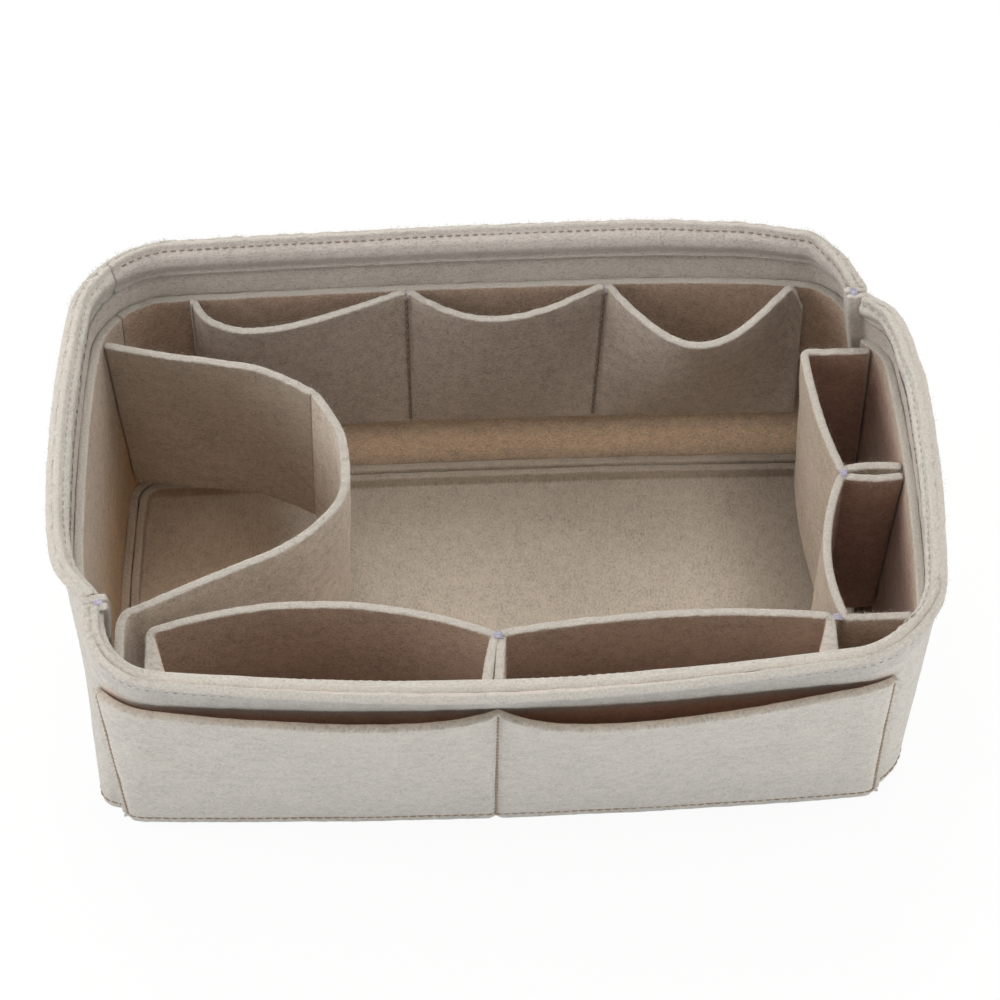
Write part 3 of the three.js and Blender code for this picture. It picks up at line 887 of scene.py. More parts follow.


# Tints of painted light and shade that the felt takes on: painted shade deep in a pocket, behind the slip
# pockets, on the floor, at the front rim and on the back pockets and facing; a painted glow low on a lining
# where light would come through; painted warm light on the walls' inner faces; and a tan along the slip
# pockets' mouth
DEEP_SHADE = (0.86, 0.66, 0.58)
SIDE_POCKET_SHADE = (0.92, 0.74, 0.72)
FRONT_POCKET_SHADE = (1.05, 0.99, 0.98)
FLOOR_LEFT_SHADE = (0.7, 0.6, 0.52)
FLOOR_RIGHT_SHADE = (0.58, 0.55, 0.53)
SLIT_SHADE = (1.5, 1.02, 0.8)
MOUTH_TAN = (1.1, 0.98, 0.87)
DEEP_EASE = 5 * MM
GLOW = (1.78, 1.7, 1.6)
LEFT_GLOW = (1.04, 0.82, 0.55)
INNER_WARM_LIGHT = (1.1, 1.05, 1.04)
RIM_SHADE = (0.88, 0.88, 0.9)
BACK_POCKET_SHADE = (0.92, 0.95, 1.02)
BACK_FACING_SHADE = (0.92, 0.88, 0.89)

# Where the ends and the front of the insert begin and are full, as shares of the rim's length and depth
END_REACH = (0.4, 0.46)
FRONT_REACH = (-0.3, -0.46)


def front_share(shape, y):
    """Share by which a place lies on the front: a soft step across the depth."""
    start, full = (share * shape.rim_depth for share in FRONT_REACH)
    return smooth(start, full, y)


def end_share(shape, x):
    """Share by which a place lies on one of the two ends: a soft step of its distance from the middle."""
    start, full = (share * shape.rim_length for share in END_REACH)
    return smooth(start, full, np.abs(x))


def wall_tint(shape):
    """Tint of a wall strip: painted warm shade behind the slip pockets, painted shade on the front rim, and
    painted warm light on the inner face.
    """
    ends = np.array([0.0, 2.0])
    foot, mouth = (panel_point(shape, ends, np.full(2, share), 0)[:, 0] for share in (0.0, 1.0))
    top = shape.height - shape.panel_drop

    def tint(points, outside):
        """Product of three tones, each by soft steps of the place and by the face."""
        x, y, z = np.moveaxis(points, -1, 0)
        left, right = (mix(foot[end], mouth[end], z / top) for end in (0, 1))
        within = smooth(0, DEEP_EASE, x - left) * smooth(0, DEEP_EASE, right - x) * (y < 0)
        # Painted warm shade behind the slip pockets, painted shade on the front rim, and painted warm light
        # on the inner face
        behind = toned(outside * within * smooth(top, top - 2 * DEEP_EASE, z), SLIT_SHADE)
        rim = toned(outside * front_share(shape, y) * smooth(top, top + DEEP_EASE, z), RIM_SHADE)
        return behind * rim * toned(1.0 - outside, INNER_WARM_LIGHT)

    return tint


class INSERT_OT_walls(bpy.types.Operator):
    """Makes the two wall strips, each turned in at both corner seams."""

    bl_idname = "insert.walls"
    bl_label = "Walls"

    def execute(self, context):
        shape = insert_shape(context)
        ends = {
            "wall_front_right": (FRONT_LEFT_SEAM, BACK_RIGHT_SEAM),
            "wall_back_left": (BACK_RIGHT_SEAM, float(FULL_TURN)),
        }
        for node, span in ends.items():
            middle = wall_middle(shape, *span)
            piece = add_felt(context, node, middle, "outside", wall_tint(shape), edge=RIM_EDGE)
        return {"FINISHED"}


# Stations of the corner seams, and the walls that they part
SEAMS = (FRONT_LEFT_SEAM, BACK_RIGHT_SEAM, float(FULL_TURN))
FRONT_RIGHT_WALL = "felt_wall_front_right"
BACK_LEFT_WALL = "felt_wall_back_left"

# Linings and facings: where each starts and ends, and the wall it lies on
LININGS = {
    "lining_front": (FRONT_LEFT_SEAM, FRONT_RIGHT_JOINT, FRONT_RIGHT_WALL),
    "lining_right": (FRONT_RIGHT_JOINT, BACK_RIGHT_SEAM, FRONT_RIGHT_WALL),
    "lining_back": (BACK_RIGHT_SEAM, BACK_LEFT_JOINT, BACK_LEFT_WALL),
    "lining_left": (BACK_LEFT_JOINT, float(FULL_TURN), BACK_LEFT_WALL),
}
FACINGS = {
    "rim_facing_front_right": (FRONT_LEFT_SEAM, BACK_RIGHT_SEAM, FRONT_RIGHT_WALL),
    "rim_facing_back": (BACK_RIGHT_SEAM, BACK_LEFT_JOINT, BACK_LEFT_WALL),
    "rim_facing_left": (BACK_LEFT_JOINT, float(FULL_TURN), BACK_LEFT_WALL),
}

# Facings: how much they swell, thin out at foot and top and up to which share, and sit lower on the front
FACING_PAD = 0.4 * MM
FACING_TAPER = 1.6 * MM
TAPER_SHARE = 0.4
END_FACING_TAPER = 2.8 * MM
END_TAPER_SHARE = 0.75
FACING_THIN = 0.5 * MM
FRONT_FACING_THIN = 1 * MM
THIN_SHARE = 0.6
FRONT_FACING_DROP = 3.4 * MM
FACING_GROOVE = 0.5 * MM
FACING_STITCH_DROP = 2.2 * MM
FRONT_STITCH_DROP = 6 * MM
FACING_OVERLAP = 0.2 * MM


def inner_span(shape, start, finish, z):
    """Ends of an inner layer: it stops short of a seam's flange, and of its neighbour at a joint."""

    def clear(station):
        """How far a layer keeps from its end: one felt and a gap at a seam, or half a gap at a joint."""
        return shape.felt + shape.seam_gap if station in SEAMS else shape.seam_gap / 2

    first = seam_station(shape, start, clear(start), z)
    return first, seam_station(shape, finish, -clear(finish), z)


def layer_middle(shape, start, finish, z, depth, step):
    """Middle of an inner layer that follows the wall at a depth."""
    first, last = inner_span(shape, start, finish, z)
    ends = wall_point(shape, np.linspace(start, finish, GUIDE_STEPS)[:, None], z[:1], depth)[:, 0]
    share = steps_over(travel(ends)[-1], step)[:, None]
    return wall_point(shape, mix(first, last, share), z[None, :], depth + shape.felt / 2)


def facing_pad(shape, z, end=0.0, front=0.0):
    """Swell of the facing's inner face: a half wave up its width, thin at both edges and along the stitches.

    It thins out more at its foot on the two ends of the insert, and more at its top on the front.
    """
    share = (z - z[0]) / (z[-1] - z[0])
    groove = np.exp(-(((z - (shape.height - FACING_STITCH_DROP)) / MM) ** 2))
    low = mix(FACING_TAPER, END_FACING_TAPER, end) * smooth(mix(TAPER_SHARE, END_TAPER_SHARE, end), 0, share)
    top = mix(FACING_THIN, FRONT_FACING_THIN, front) * smooth(THIN_SHARE, 1, share)
    return FACING_PAD * np.sin(np.pi * share) - low - top - FACING_GROOVE * groove


def lowered(shape, middle, front):
    """Grid of a facing drawn down on the front: each row is read lower, by a blend of the two rows there."""
    rows = np.arange(middle.shape[1])
    place = rows * (1 - front * FRONT_FACING_DROP / shape.facing_width)
    below = np.minimum(place.astype(int), rows[-2])
    section = np.arange(len(middle))[:, None]
    return mix(middle[section, below], middle[section, below + 1], (place - below)[..., None])


# Where linings get painted shade and a painted glow: shares of the height or of the pockets' top, and the
# glow's height and spread
POCKET_SHADE = 0.9
BACK_SHADE = 0.5
BACK_SHADE_REACH = (0.4, 0.6)
BACK_GLOW_HEIGHT = 18 * MM
BACK_GLOW_SPREAD = 10 * MM
LEFT_GLOW_REACH = (0.7, 0.1)


def linings_tint(shape, node):
    """Tint of a lining: a painted glow low on the back and on the left, painted shade higher on the back, and
    painted shade in the pockets elsewhere.
    """

    def back(z):
        """Painted glow by a bell of the height, times painted shade by a soft step higher up."""
        glow = np.exp(-(((z - BACK_GLOW_HEIGHT) / BACK_GLOW_SPREAD) ** 2))
        low, high = (share * shape.height for share in BACK_SHADE_REACH)
        return toned(glow, GLOW) * toned(BACK_SHADE * smooth(low, high, z), DEEP_SHADE)

    def left(z):
        """Painted glow by a soft step from high on the lining down to its foot."""
        high, low = (share * shape.height for share in LEFT_GLOW_REACH)
        return toned(smooth(high, low, z), LEFT_GLOW)

    def pocketed(z):
        """Painted shade up to the pockets' top, where a soft step ends it."""
        return toned(1 - smooth(POCKET_SHADE * shape.pocket_top, shape.pocket_top, z), SIDE_POCKET_SHADE)

    tone = {"lining_back": back, "lining_left": left}.get(node, pocketed)
    return lambda points, outside: tone(points[..., 2])


def add_lining(context, shape, node):
    """One lining, sewn flat against its wall."""
    start, finish, wall = LININGS[node]
    z = upright(shape, 0, shape.lining_top, 2 * FACE_ROWS)
    middle = layer_middle(shape, start, finish, z, shape.lining_depth, BROAD_STEP)
    piece = add_felt(context, node, middle, "inside", linings_tint(shape, node), outer=shape.seam_gap)


def add_facing(context, shape, node):
    """One facing, sewn inside the rim and lower on the front."""
    start, finish, wall = FACINGS[node]
    z = upright(shape, shape.height - shape.facing_width, shape.height, 2 * RIM_ROWS, FACING_EDGE)
    middle = layer_middle(shape, start, finish, z, shape.layer, FINE_STEP)
    end = end_share(shape, middle[:, 0, :1])
    front = front_share(shape, middle[:, 0, 1:2])
    middle = lowered(shape, middle, front)
    touch = shape.seam_gap + FACING_OVERLAP
    pad = facing_pad(shape, z, end, front)
    # The back facing takes an even painted shade
    tint = even_tint(BACK_FACING_SHADE) if node == "rim_facing_back" else plain_tint
    piece = add_felt(context, node, middle, "outside", tint, edge=FACING_EDGE, outer=touch, inner=pad)


class INSERT_OT_linings(bpy.types.Operator):
    """Makes the linings of the four walls and the facings sewn inside the rim."""

    bl_idname = "insert.linings"
    bl_label = "Linings and facings"

    def execute(self, context):
        shape = insert_shape(context)
        for node in LININGS:
            add_lining(context, shape, node)
        for node in FACINGS:
            add_facing(context, shape, node)
        return {"FINISHED"}


# Floor: shares of its rings from the edge to the centre, its rounding into the lip, and rows of both
FLOOR_SHARES = np.concatenate([np.linspace(0, 0.975, 40)[1:], [0.998, 0.9999]])
TRAY_ROUND = 2.2 * MM
TRAY_LIP_ROWS = 6
TRAY_TURN_ROWS = 8
WELT_CUT = (0.1, 0.18, 0, 0)
TRAY_CUT = (0, 0.2, 0, 0)

# Where the floor gets painted shade: how far it eases out of the loop, and its reach in from the side pockets
LOOP_SHADE_EASE = 25 * MM
SIDE_SHADE = 0.85
SIDE_SHADE_REACH = (80 * MM, 40 * MM)


def tray_section(shape):
    """Half section of the tray as depths from the wall and heights: down the lip and a quarter turn in."""
    top = shape.lip_height - shape.edge_round
    middle = shape.lip_depth + shape.felt / 2
    low = shape.felt / 2
    angle = np.linspace(0, QUARTER_TURN, TRAY_TURN_ROWS)[1:]
    lip = np.linspace(top, low + TRAY_ROUND, TRAY_LIP_ROWS)
    depth = np.concatenate([np.full(len(lip), middle), middle + TRAY_ROUND * (1 - np.cos(angle))])
    return depth, np.concatenate([lip, low + TRAY_ROUND * (1 - np.sin(angle))])


def tray_middle(shape, stations):
    """Middle of the tray: its section carried round the wall, then rings drawn in to the floor's centre."""
    depth, z = tray_section(shape)
    side = wall_point(shape, stations[:, None], z[None, :], depth[None, :])
    side[..., 2] = z[None, :]
    share = FLOOR_SHARES[None, :, None]
    centre = np.array([0, shape.base_shift, z[-1]])
    floor = mix(side[:, -1:], centre, share)
    return np.concatenate([side, floor], axis=1)[:, ::-1]


def welt_middle(shape, stations):
    """Middle of the welt, between the lining and the lip of the floor: points of the wall at its depth."""
    z = upright(shape, 0, shape.lip_height, RIM_ROWS)
    return wall_point(shape, stations[:, None], z[None, :], shape.welt_depth + shape.felt / 2)


def floor_map(shape):
    """Pattern map of the tray laid flat: the plan, with the lip's height above the floor added outwards."""

    def pattern(surface, seed):
        """Plan of each point, moved outwards by its height above the rounding."""
        points = surface.reshape(-1, 3)
        plan = points[:, :2]
        out = unit(plan) * np.maximum(points[:, 2:] - shape.felt - TRAY_ROUND, 0)
        return (plan + out)[:, ::-1]

    return pattern


def floor_tint(shape):
    """Tint of the floor: painted shade inside the bottle loop and beside the side pockets."""
    edge = shape.rim_length / 2
    nose = shape.loop_reach - edge
    start, full = (edge - reach for reach in SIDE_SHADE_REACH)

    def tint(points, outside):
        """Product of two tones, each by a soft step along the length."""
        x = points[..., 0]
        left = smooth(nose, nose - LOOP_SHADE_EASE, x)
        right = smooth(start, full, x)
        return toned(left, FLOOR_LEFT_SHADE) * toned(SIDE_SHADE * right, FLOOR_RIGHT_SHADE)

    return tint


class INSERT_OT_base(bpy.types.Operator):
    """Makes the floor with its turned-up lip, and the welt behind the lip."""

    bl_idname = "insert.base"
    bl_label = "Floor and welt"

    def execute(self, context):
        shape = insert_shape(context)
        turn = 2 * (shape.base_length + shape.base_depth)
        stations = np.linspace(0, FULL_TURN, int(turn / BROAD_STEP), endpoint=False)
        ring = welt_middle(shape, stations)
        tint = floor_tint(shape)
        touch = shape.seam_gap
        welt = add_felt(context, "base_welt", ring, "tray", tint, WELT_CUT, ring=True, outer=touch)
        middle = tray_middle(shape, stations)
        own = {"ring": True, "pattern": floor_map(shape)}
        tray = add_felt(context, "base_panel", middle, "tray", tint, TRAY_CUT, TRAY_EDGE, **own)
        return {"FINISHED"}


# Back pockets: how far the free end's top drops, each seam's lean, and how much core shows at the foot
TAIL_DROP = 9 * MM
BACK_SEAM_LEAN = np.array([0, 0, -3.2, 0.8]) * MM
BACK_FOOT_CUT = 0.3


def seam_lean(shape, x):
    """How far the foot of a back pocket's seam stands to the right of its top, eased from seam to seam."""
    return np.interp(x, tuple(shape.back_ends), BACK_SEAM_LEAN)


def back_middle(shape, index):
    """Middle of a bellows pocket: off the lining by a skewed sine that grows from the foot to the mouth."""
    last = index == len(shape.back_gape) - 1
    start = shape.back_ends[index] + shape.seam_gap / 2
    seam = shape.back_ends[index + 1] - shape.seam_gap / 2
    finish = seam + last * shape.back_tail
    x = mix(start, finish, steps_over(finish - start, FINE_STEP))
    low = start + shape.back_margin
    high = seam - shape.back_margin
    skew = np.log(0.5) / np.log(BACK_POCKET_PEAK[index])
    swell = np.sin(np.pi * np.clip((x - low) / (high - low), 0, 1) ** skew)
    share = np.linspace(0, 1, 2 * FACE_ROWS)[None, :]
    dip = shape.back_scallop * swell + last * TAIL_DROP * smooth(high, finish, x) ** 2
    top = shape.pocket_top + shape.back_rise - shape.edge_round - dip[:, None]
    z = mix(shape.back_foot + shape.edge_round, top, share)
    off = shape.seam_gap + shape.felt / 2 + shape.back_gape[index] * share * swell[:, None]
    leant = x[:, None] + seam_lean(shape, x)[:, None] * (1 - share)
    y = back_face(shape, leant, z) - off
    return np.stack([leant, y, z], axis=-1)


class INSERT_OT_back_pockets(bpy.types.Operator):
    """Makes the three bellows pockets on the back lining."""

    bl_idname = "insert.back_pockets"
    bl_label = "Back pockets"

    def execute(self, context):
        shape = insert_shape(context)
        names = ("back_pocket_left", "back_pocket_middle", "back_pocket_right")
        for index, node in enumerate(names):
            middle = back_middle(shape, index)
            cut = (BACK_FOOT_CUT, 1, float(index == 0), float(index == len(names) - 1))
            # The back pockets take an even painted shade
            piece = add_felt(context, node, middle, "inside", even_tint(BACK_POCKET_SHADE), cut)
        return {"FINISHED"}


# Box pockets: steps round a corner and up a gusset, and the share of the height where a wedge begins
CORNER_STEPS = 12
GUSSET_STEPS = 34
WEDGE_FOOT = 0.35
# A gusset: its shift along the wall at the lining, half way and at the leaf, away from its neighbour, the
# ease of its corner with the leaf, and how much fuller it is at the top of the wall
Gusset = namedtuple("Gusset", "shift ease wedge")
LONE_SIDE = Gusset((0, 0, 0), 2 * MM, 0)
LONE_FRONT = Gusset((0, 0, 0), 1.8 * MM, 5.4 * MM)
FRONT_PAIR_LEFT = Gusset((3 * MM, 1.5 * MM, -0.5 * MM), 1.2 * MM, 0.8 * MM)
FRONT_PAIR_RIGHT = Gusset((-2.95 * MM, -1.5 * MM, -0.5 * MM), 1.2 * MM, 0.4 * MM)
SIDE_PAIR = Gusset((0.15 * MM, 1 * MM, -0.5 * MM), 1.4 * MM, 0.2 * MM)


def bent(shift, share):
    """Curve through three shifts, at shares 0, a half and 1: the parabola through them."""
    low, half, high = shift
    rest = 1 - share
    return low * rest * (rest - share) + 4 * half * share * rest + high * share * (share - rest)


def pocket_plan(wall, span, foot, mouth, bow, gussets, z, share):
    """Path of a box pocket, as places along its wall and off the rim: gusset, corner, leaf, corner, gusset.

    The leaf runs between the insets at its two ends plus a parabola that bows it in.
    """
    start, finish = span
    width = finish - start

    def leaf(t):
        """Leaf at shares of its width: a straight blend of its insets, plus the parabola."""
        ends = mix(mix(foot[0], foot[1], t), mix(mouth[0], mouth[1], t), share)
        return np.stack(np.broadcast_arrays(mix(start, finish, t), ends + bow * 4 * t * (1 - t)), axis=-1)

    def strip(end, t, gusset, sign):
        """Gusset: straight off the lining to the leaf, shifted along the wall by its own curve."""
        lining = wall.lining(end, z)
        corner = leaf(t)[0]
        run = np.linspace(0, 1 - gusset.ease / np.abs(corner[..., 1] - lining).mean(), GUSSET_STEPS)[:, None]
        off = mix(lining, corner[..., 1], run)
        return np.stack(np.broadcast_arrays(end + sign * bent(gusset.shift, run), off), axis=-1)

    near, far = gussets
    t = np.linspace(near.ease / width, 1 - far.ease / width, int(width / FINE_STEP))[:, None]
    middle = leaf(t)
    zero = np.zeros((1, 1))
    first = strip(start, zero, near, 1)
    last = strip(finish, zero + 1, far, -1)[::-1]
    turn_in = leaf(zero)[0] + np.array([bent(near.shift, 1.0), 0])
    turn_out = leaf(zero + 1)[0] - np.array([bent(far.shift, 1.0), 0])
    corner_in = rounded_turn(first[-1], turn_in, middle[0], CORNER_STEPS)
    corner_out = rounded_turn(middle[-1], turn_out, last[0], CORNER_STEPS)
    return np.concatenate([first, corner_in, middle, corner_out, last])


def front_side(shape):
    """How the front wall gives its lining's distance off the rim, and turns places by the rim into plan."""
    rim = shape.rim_depth / 2
    gap = 2 * shape.seam_gap
    return SimpleNamespace(
        lining=lambda x, z: front_face(shape, x, z) + rim + gap,
        place=lambda path: np.stack([path[..., 0], path[..., 1] - rim], axis=-1),
    )


def right_side(shape):
    """How the right end gives its lining's distance off the rim, and turns places by the rim into plan."""
    rim = shape.rim_length / 2
    gap = 2 * shape.seam_gap
    return SimpleNamespace(
        lining=lambda y, z: rim - right_face(shape, y, z) + gap,
        place=lambda path: np.stack([rim - path[..., 1], path[..., 0]], axis=-1),
    )


def box_middle(shape, wall, ends, insets, bow, index, gussets):
    """Middle of one of two box pockets that share the middle end: its path in plan at each row's height."""
    half = shape.layer / 2
    span = (ends[0], ends[1] - half) if index == 0 else (ends[1] + half, ends[2])
    z = upright(shape, shape.pocket_foot, shape.pocket_top, 2 * FACE_ROWS)
    share = np.linspace(0, 1, len(z))
    foot, mouth = (tuple(values)[index : index + 2] for values in insets)
    path = wall.place(pocket_plan(wall, span, foot, mouth, bow, gussets, z, share))
    height = np.broadcast_to(z, path.shape[:2])[..., None]
    return np.concatenate([path, height], axis=-1)


def box_fullness(middle, gussets):
    """How much fuller a box pocket is inside: each gusset's wedge, growing to the wall and to the top."""
    near, far = gussets
    grow = np.linspace(1, 0, GUSSET_STEPS)
    run = np.zeros(len(middle))
    run[:GUSSET_STEPS] = near.wedge * grow
    run[-GUSSET_STEPS:] = far.wedge * grow[::-1]
    return run[:, None] * smooth(WEDGE_FOOT, 1, np.linspace(0, 1, middle.shape[1]))[None, :]


def pocket_tint(tone):
    """Tint of a box pocket: painted shade on its inside."""

    def tint(points, inside):
        """The painted shade on the inner face, and none on the other."""
        return toned(1.0 * inside, tone)

    return tint


class INSERT_OT_box_pockets(bpy.types.Operator):
    """Makes the two box pockets on the front wall and the two on the right end."""

    bl_idname = "insert.box_pockets"
    bl_label = "Front and side pockets"

    def execute(self, context):
        shape = insert_shape(context)
        front = (front_side(shape), shape.front_ends, (shape.front_foot, shape.front_mouth))
        side = (right_side(shape), shape.side_ends, (shape.side_foot, shape.side_mouth))
        pockets = {
            "front_pocket_left": (*front, shape.front_leaf_bow[0], 0, (LONE_FRONT, FRONT_PAIR_LEFT)),
            "front_pocket_right": (*front, shape.front_leaf_bow[1], 1, (FRONT_PAIR_RIGHT, LONE_FRONT)),
            "side_pocket_front": (*side, shape.side_leaf_bow[0], 0, (LONE_SIDE, SIDE_PAIR)),
            "side_pocket_back": (*side, shape.side_leaf_bow[1], 1, (SIDE_PAIR, LONE_SIDE)),
        }
        for node, build in pockets.items():
            on_front = node.startswith("front")
            # Painted shade on the inside of the front and side pockets
            tint = pocket_tint(FRONT_POCKET_SHADE if on_front else SIDE_POCKET_SHADE)
            middle = box_middle(shape, *build)
            piece = add_felt(context, node, middle, "inside", tint, outer=box_fullness(middle, build[-1]))
        return {"FINISHED"}


# Bottle loop: steps along its leg and its nose, their painted light, and its crease, whose width is in steps
LEG_STEPS = 90
NOSE_STEPS = 230
LEG_LIGHT = (1.07, 1.1, 1.14)
NOSE_LIGHT = (1.46, 1.52, 1.58)
NOSE_EASE = 4
CREASE_WIDTH = 1.3
CREASE_DEPTH = 0.55 * MM


def spline(points, steps):
    """Smooth path through points: each stretch is a cubic whose ends run along the neighbours' chord."""
    count = len(points)
    place = np.linspace(0, count - 1, steps)
    at = np.minimum(place.astype(int), count - 2)
    t = (place - at)[:, None, None]
    before, here = points[np.maximum(at - 1, 0)], points[at]
    after, beyond = points[at + 1], points[np.minimum(at + 2, count - 1)]
    slope_in = (after - before) / 2
    slope_out = (beyond - here) / 2
    cubic = 2 * here - 2 * after + slope_in + slope_out
    square = -3 * here + 3 * after - 2 * slope_in - slope_out
    return ((cubic * t + square) * t + slope_in) * t + here


def loop_middle(shape):
    """Middle of the bottle loop: a spline from the left lining to a crease, and one on round to the front."""
    z = upright(shape, shape.pocket_foot, shape.pocket_top, 2 * FACE_ROWS)
    lean = 1 - np.linspace(0, 1, len(z))
    top = np.array(shape.pocket_top)
    zero = np.array(0.0)
    face = left_face(shape, zero, top)
    back = back_face(shape, zero, top) - shape.loop_back
    front = front_face(shape, zero, top) + shape.loop_front
    edge = level_point(shape, FRONT_LEFT_SEAM, top, shape.felt + shape.flange)[..., 0]

    def places(knots):
        """Plan of knots: their shares of the reach and of the span, leant over by the reach."""
        reach, span = knots[:, :1], knots[:, 1:]
        x = face + shape.loop_reach * reach + shape.loop_lean[0] * reach * lean
        y = mix(back, front, span) + shape.loop_lean[1] * reach * lean
        return np.stack([x, y], axis=-1)

    flat = np.ones(len(z))
    turn = edge + shape.layer
    start = np.stack([left_face(shape, back * flat, z) + shape.seam_gap, back * flat], axis=-1)
    corner = np.stack([turn * flat, front * flat], axis=-1)
    finish = np.stack([turn * flat, front_face(shape, turn * flat, z) + shape.seam_gap], axis=-1)
    leg = np.concatenate([start[None], places(LOOP_LEG)])
    nose = np.concatenate([leg[-1:], places(LOOP_NOSE), corner[None], finish[None]])
    path = np.concatenate([spline(leg, LEG_STEPS)[:-1], spline(nose, NOSE_STEPS)])
    height = np.broadcast_to(z, path.shape[:2])[..., None]
    return np.concatenate([path, height], axis=-1)


def loop_tint(points, outside):
    """Tint of the bottle loop, painted light: paler all over, and paler still from its crease on, where the
    nose turns to the light.
    """
    after = smooth(LEG_STEPS - NOSE_EASE, LEG_STEPS + NOSE_EASE, np.arange(len(points)))[:, None]
    return np.broadcast_to(np.array(LEG_LIGHT) * toned(after, NOSE_LIGHT), points.shape)


class INSERT_OT_bottle_loop(bpy.types.Operator):
    """Makes the loop that holds a bottle in the left corner."""

    bl_idname = "insert.bottle_loop"
    bl_label = "Bottle loop"

    def execute(self, context):
        shape = insert_shape(context)
        middle = loop_middle(shape)
        away = (np.arange(len(middle)) - LEG_STEPS + 1)[:, None]
        crease = CREASE_DEPTH * np.exp(-((away / CREASE_WIDTH) ** 2))
        piece = add_felt(context, "bottle_loop", middle, "inside", loop_tint, inner=-crease, outer=-crease)
        return {"FINISHED"}


# Slip pockets: dents and places of their seams, fineness, fullness, droop of the ends, and tan of the mouth
PANEL_SEAM_DENT = 1.1 * MM
PANEL_SEAM_WIDTH = 1.3 * MM
PANEL_SEAM_INSET = 1.6 * MM
PANEL_FOOT_ROW = 2.2 * MM
PANEL_STEPS = 130
PANEL_SHARES = np.concatenate([np.linspace(0, 0.08, 10), np.linspace(0.1, 1, 2 * FACE_ROWS)])
PANEL_CUT = (1, 0, 1, 1)
SWELL_RISE = 2.5
SWELL_FALL = 9
END_DROP = (8.4 * MM, 5.4 * MM)
END_DROP_RUN = 0.09
MOUTH_TAN_REACH = (1.3 * MM, 0.3 * MM)
FACE_TAN_LOSS = 0.6


def panel_swell(t):
    """How full a slip pocket is, from its outer end to the centre seam: a slow rise and a quick fall."""
    return (1 - (1 - t) ** SWELL_RISE) * (1 - t**SWELL_FALL)


def even_station(shape, low, high, z, share):
    """Station at a share of the way along the wall between two stations, by the distance at one height."""
    stations = np.linspace(low, high, GUIDE_STEPS)
    run = travel(wall_plan(shape, stations, z))
    return np.interp(share, run / run[-1], stations)


def panel_place(shape, place, share):
    """Station, height and stand-off of the panel: place 0 to 1 is the left pocket and 1 to 2 the right one.

    The mouth droops towards the two ends, by an exponential of the distance from each.
    """
    foot = shape.panel_foot + shape.edge_round
    mouth = shape.height - shape.panel_drop - shape.edge_round
    second = place > 1
    t = np.where(second, place - 1, place)

    def along(level, z):
        """Stations on the left or on the right pocket, at the foot or at the mouth."""
        left, centre, right = (seam[level] for seam in PANEL_SEAMS)
        first_run = even_station(shape, left, centre, z, t)
        return np.where(second, even_station(shape, centre, right, z, t), first_run)

    swell = panel_swell(np.where(second, 1 - t, t))
    gape = np.where(second, shape.panel_gape[1], shape.panel_gape[0]) * swell
    station = mix(along(0, foot), along(1, mouth), share)
    ends = END_DROP[0] * np.exp(-place / END_DROP_RUN) + END_DROP[1] * np.exp((place - 2) / END_DROP_RUN)
    return station, mix(foot, mouth - ends, share), shape.seam_gap + gape * share**2


def panel_point(shape, place, share, out):
    """Point of the panel: a point outside the wall by its stand-off plus a distance from its back face."""
    station, z, off = panel_place(shape, place, share)
    return wall_point(shape, station, z, -(off + out))


def panel_dent(place, middle):
    """How far the seams pull the panel in: a bell of the distance to the nearest seam or to the foot row."""
    run = travel(middle[:, middle.shape[1] // 2])
    lines = np.interp([0, 1, 2], place, run) + PANEL_SEAM_INSET * np.array([1, 0, -1])
    away = np.abs(run[:, None] - lines[None, :]).min(axis=1)
    up = travel(middle[len(middle) // 2]) - PANEL_FOOT_ROW
    beside = np.exp(-((away / PANEL_SEAM_WIDTH) ** 2))[:, None]
    below = np.exp(-((up / PANEL_SEAM_WIDTH) ** 2))[None, :]
    return PANEL_SEAM_DENT * np.maximum(beside, below)


def panel_tint(points, outside):
    """Tint of the panel: painted shade on its back, inside the slip pockets, and tan along its mouth."""
    z = points[..., 2]
    mouth = z.max(axis=1, keepdims=True)
    start, full = (mouth - reach for reach in MOUTH_TAN_REACH)
    back = (1 - outside) * smooth(mouth - MM, mouth - DEEP_EASE, z)
    tan = (1 - FACE_TAN_LOSS * outside) * smooth(start, full, z)
    return toned(back, SLIT_SHADE) * toned(tan, MOUTH_TAN)


class INSERT_OT_outer_pockets(bpy.types.Operator):
    """Makes the panel of two slip pockets outside on the front."""

    bl_idname = "insert.outer_pockets"
    bl_label = "Outer slip pockets"

    def execute(self, context):
        shape = insert_shape(context)
        place = np.concatenate([steps_over(1, 1 / PANEL_STEPS), 1 + steps_over(1, 1 / PANEL_STEPS)[1:]])
        middle = panel_point(shape, place[:, None], PANEL_SHARES[None, :], shape.felt / 2)
        dent = panel_dent(place, middle)
        node = "outer_pocket_panel"
        piece = add_felt(context, node, middle, "outside", panel_tint, PANEL_CUT, outer=-dent)
        return {"FINISHED"}


# One stitch: rings along it as shares of its half length, with their thickness and their height
STITCH_RINGS = np.array([(-1, 0.4, -0.9), (-0.72, 0.9, -0.1), (0, 1, 0.2), (0.72, 0.9, -0.1), (1, 0.4, -0.9)])
STITCH_SIDES = 6
STITCH_LID = np.array([(0, 3, 2, 1), (0, 5, 4, 3)])

# Stretches of the rim that are sewn, as stations
RIM_BACK = ((BACK_RIGHT_SEAM, BACK_LEFT_JOINT),)
RIM_ENDS = ((FRONT_LEFT_SEAM, BACK_RIGHT_SEAM), (BACK_LEFT_JOINT, float(FULL_TURN)))

# Stations between which the row on the rim comes down to the front's and goes up again
FRONT_ROW_START = (0.1, 0.5)
FRONT_ROW_FINISH = (2.7, 2.3)

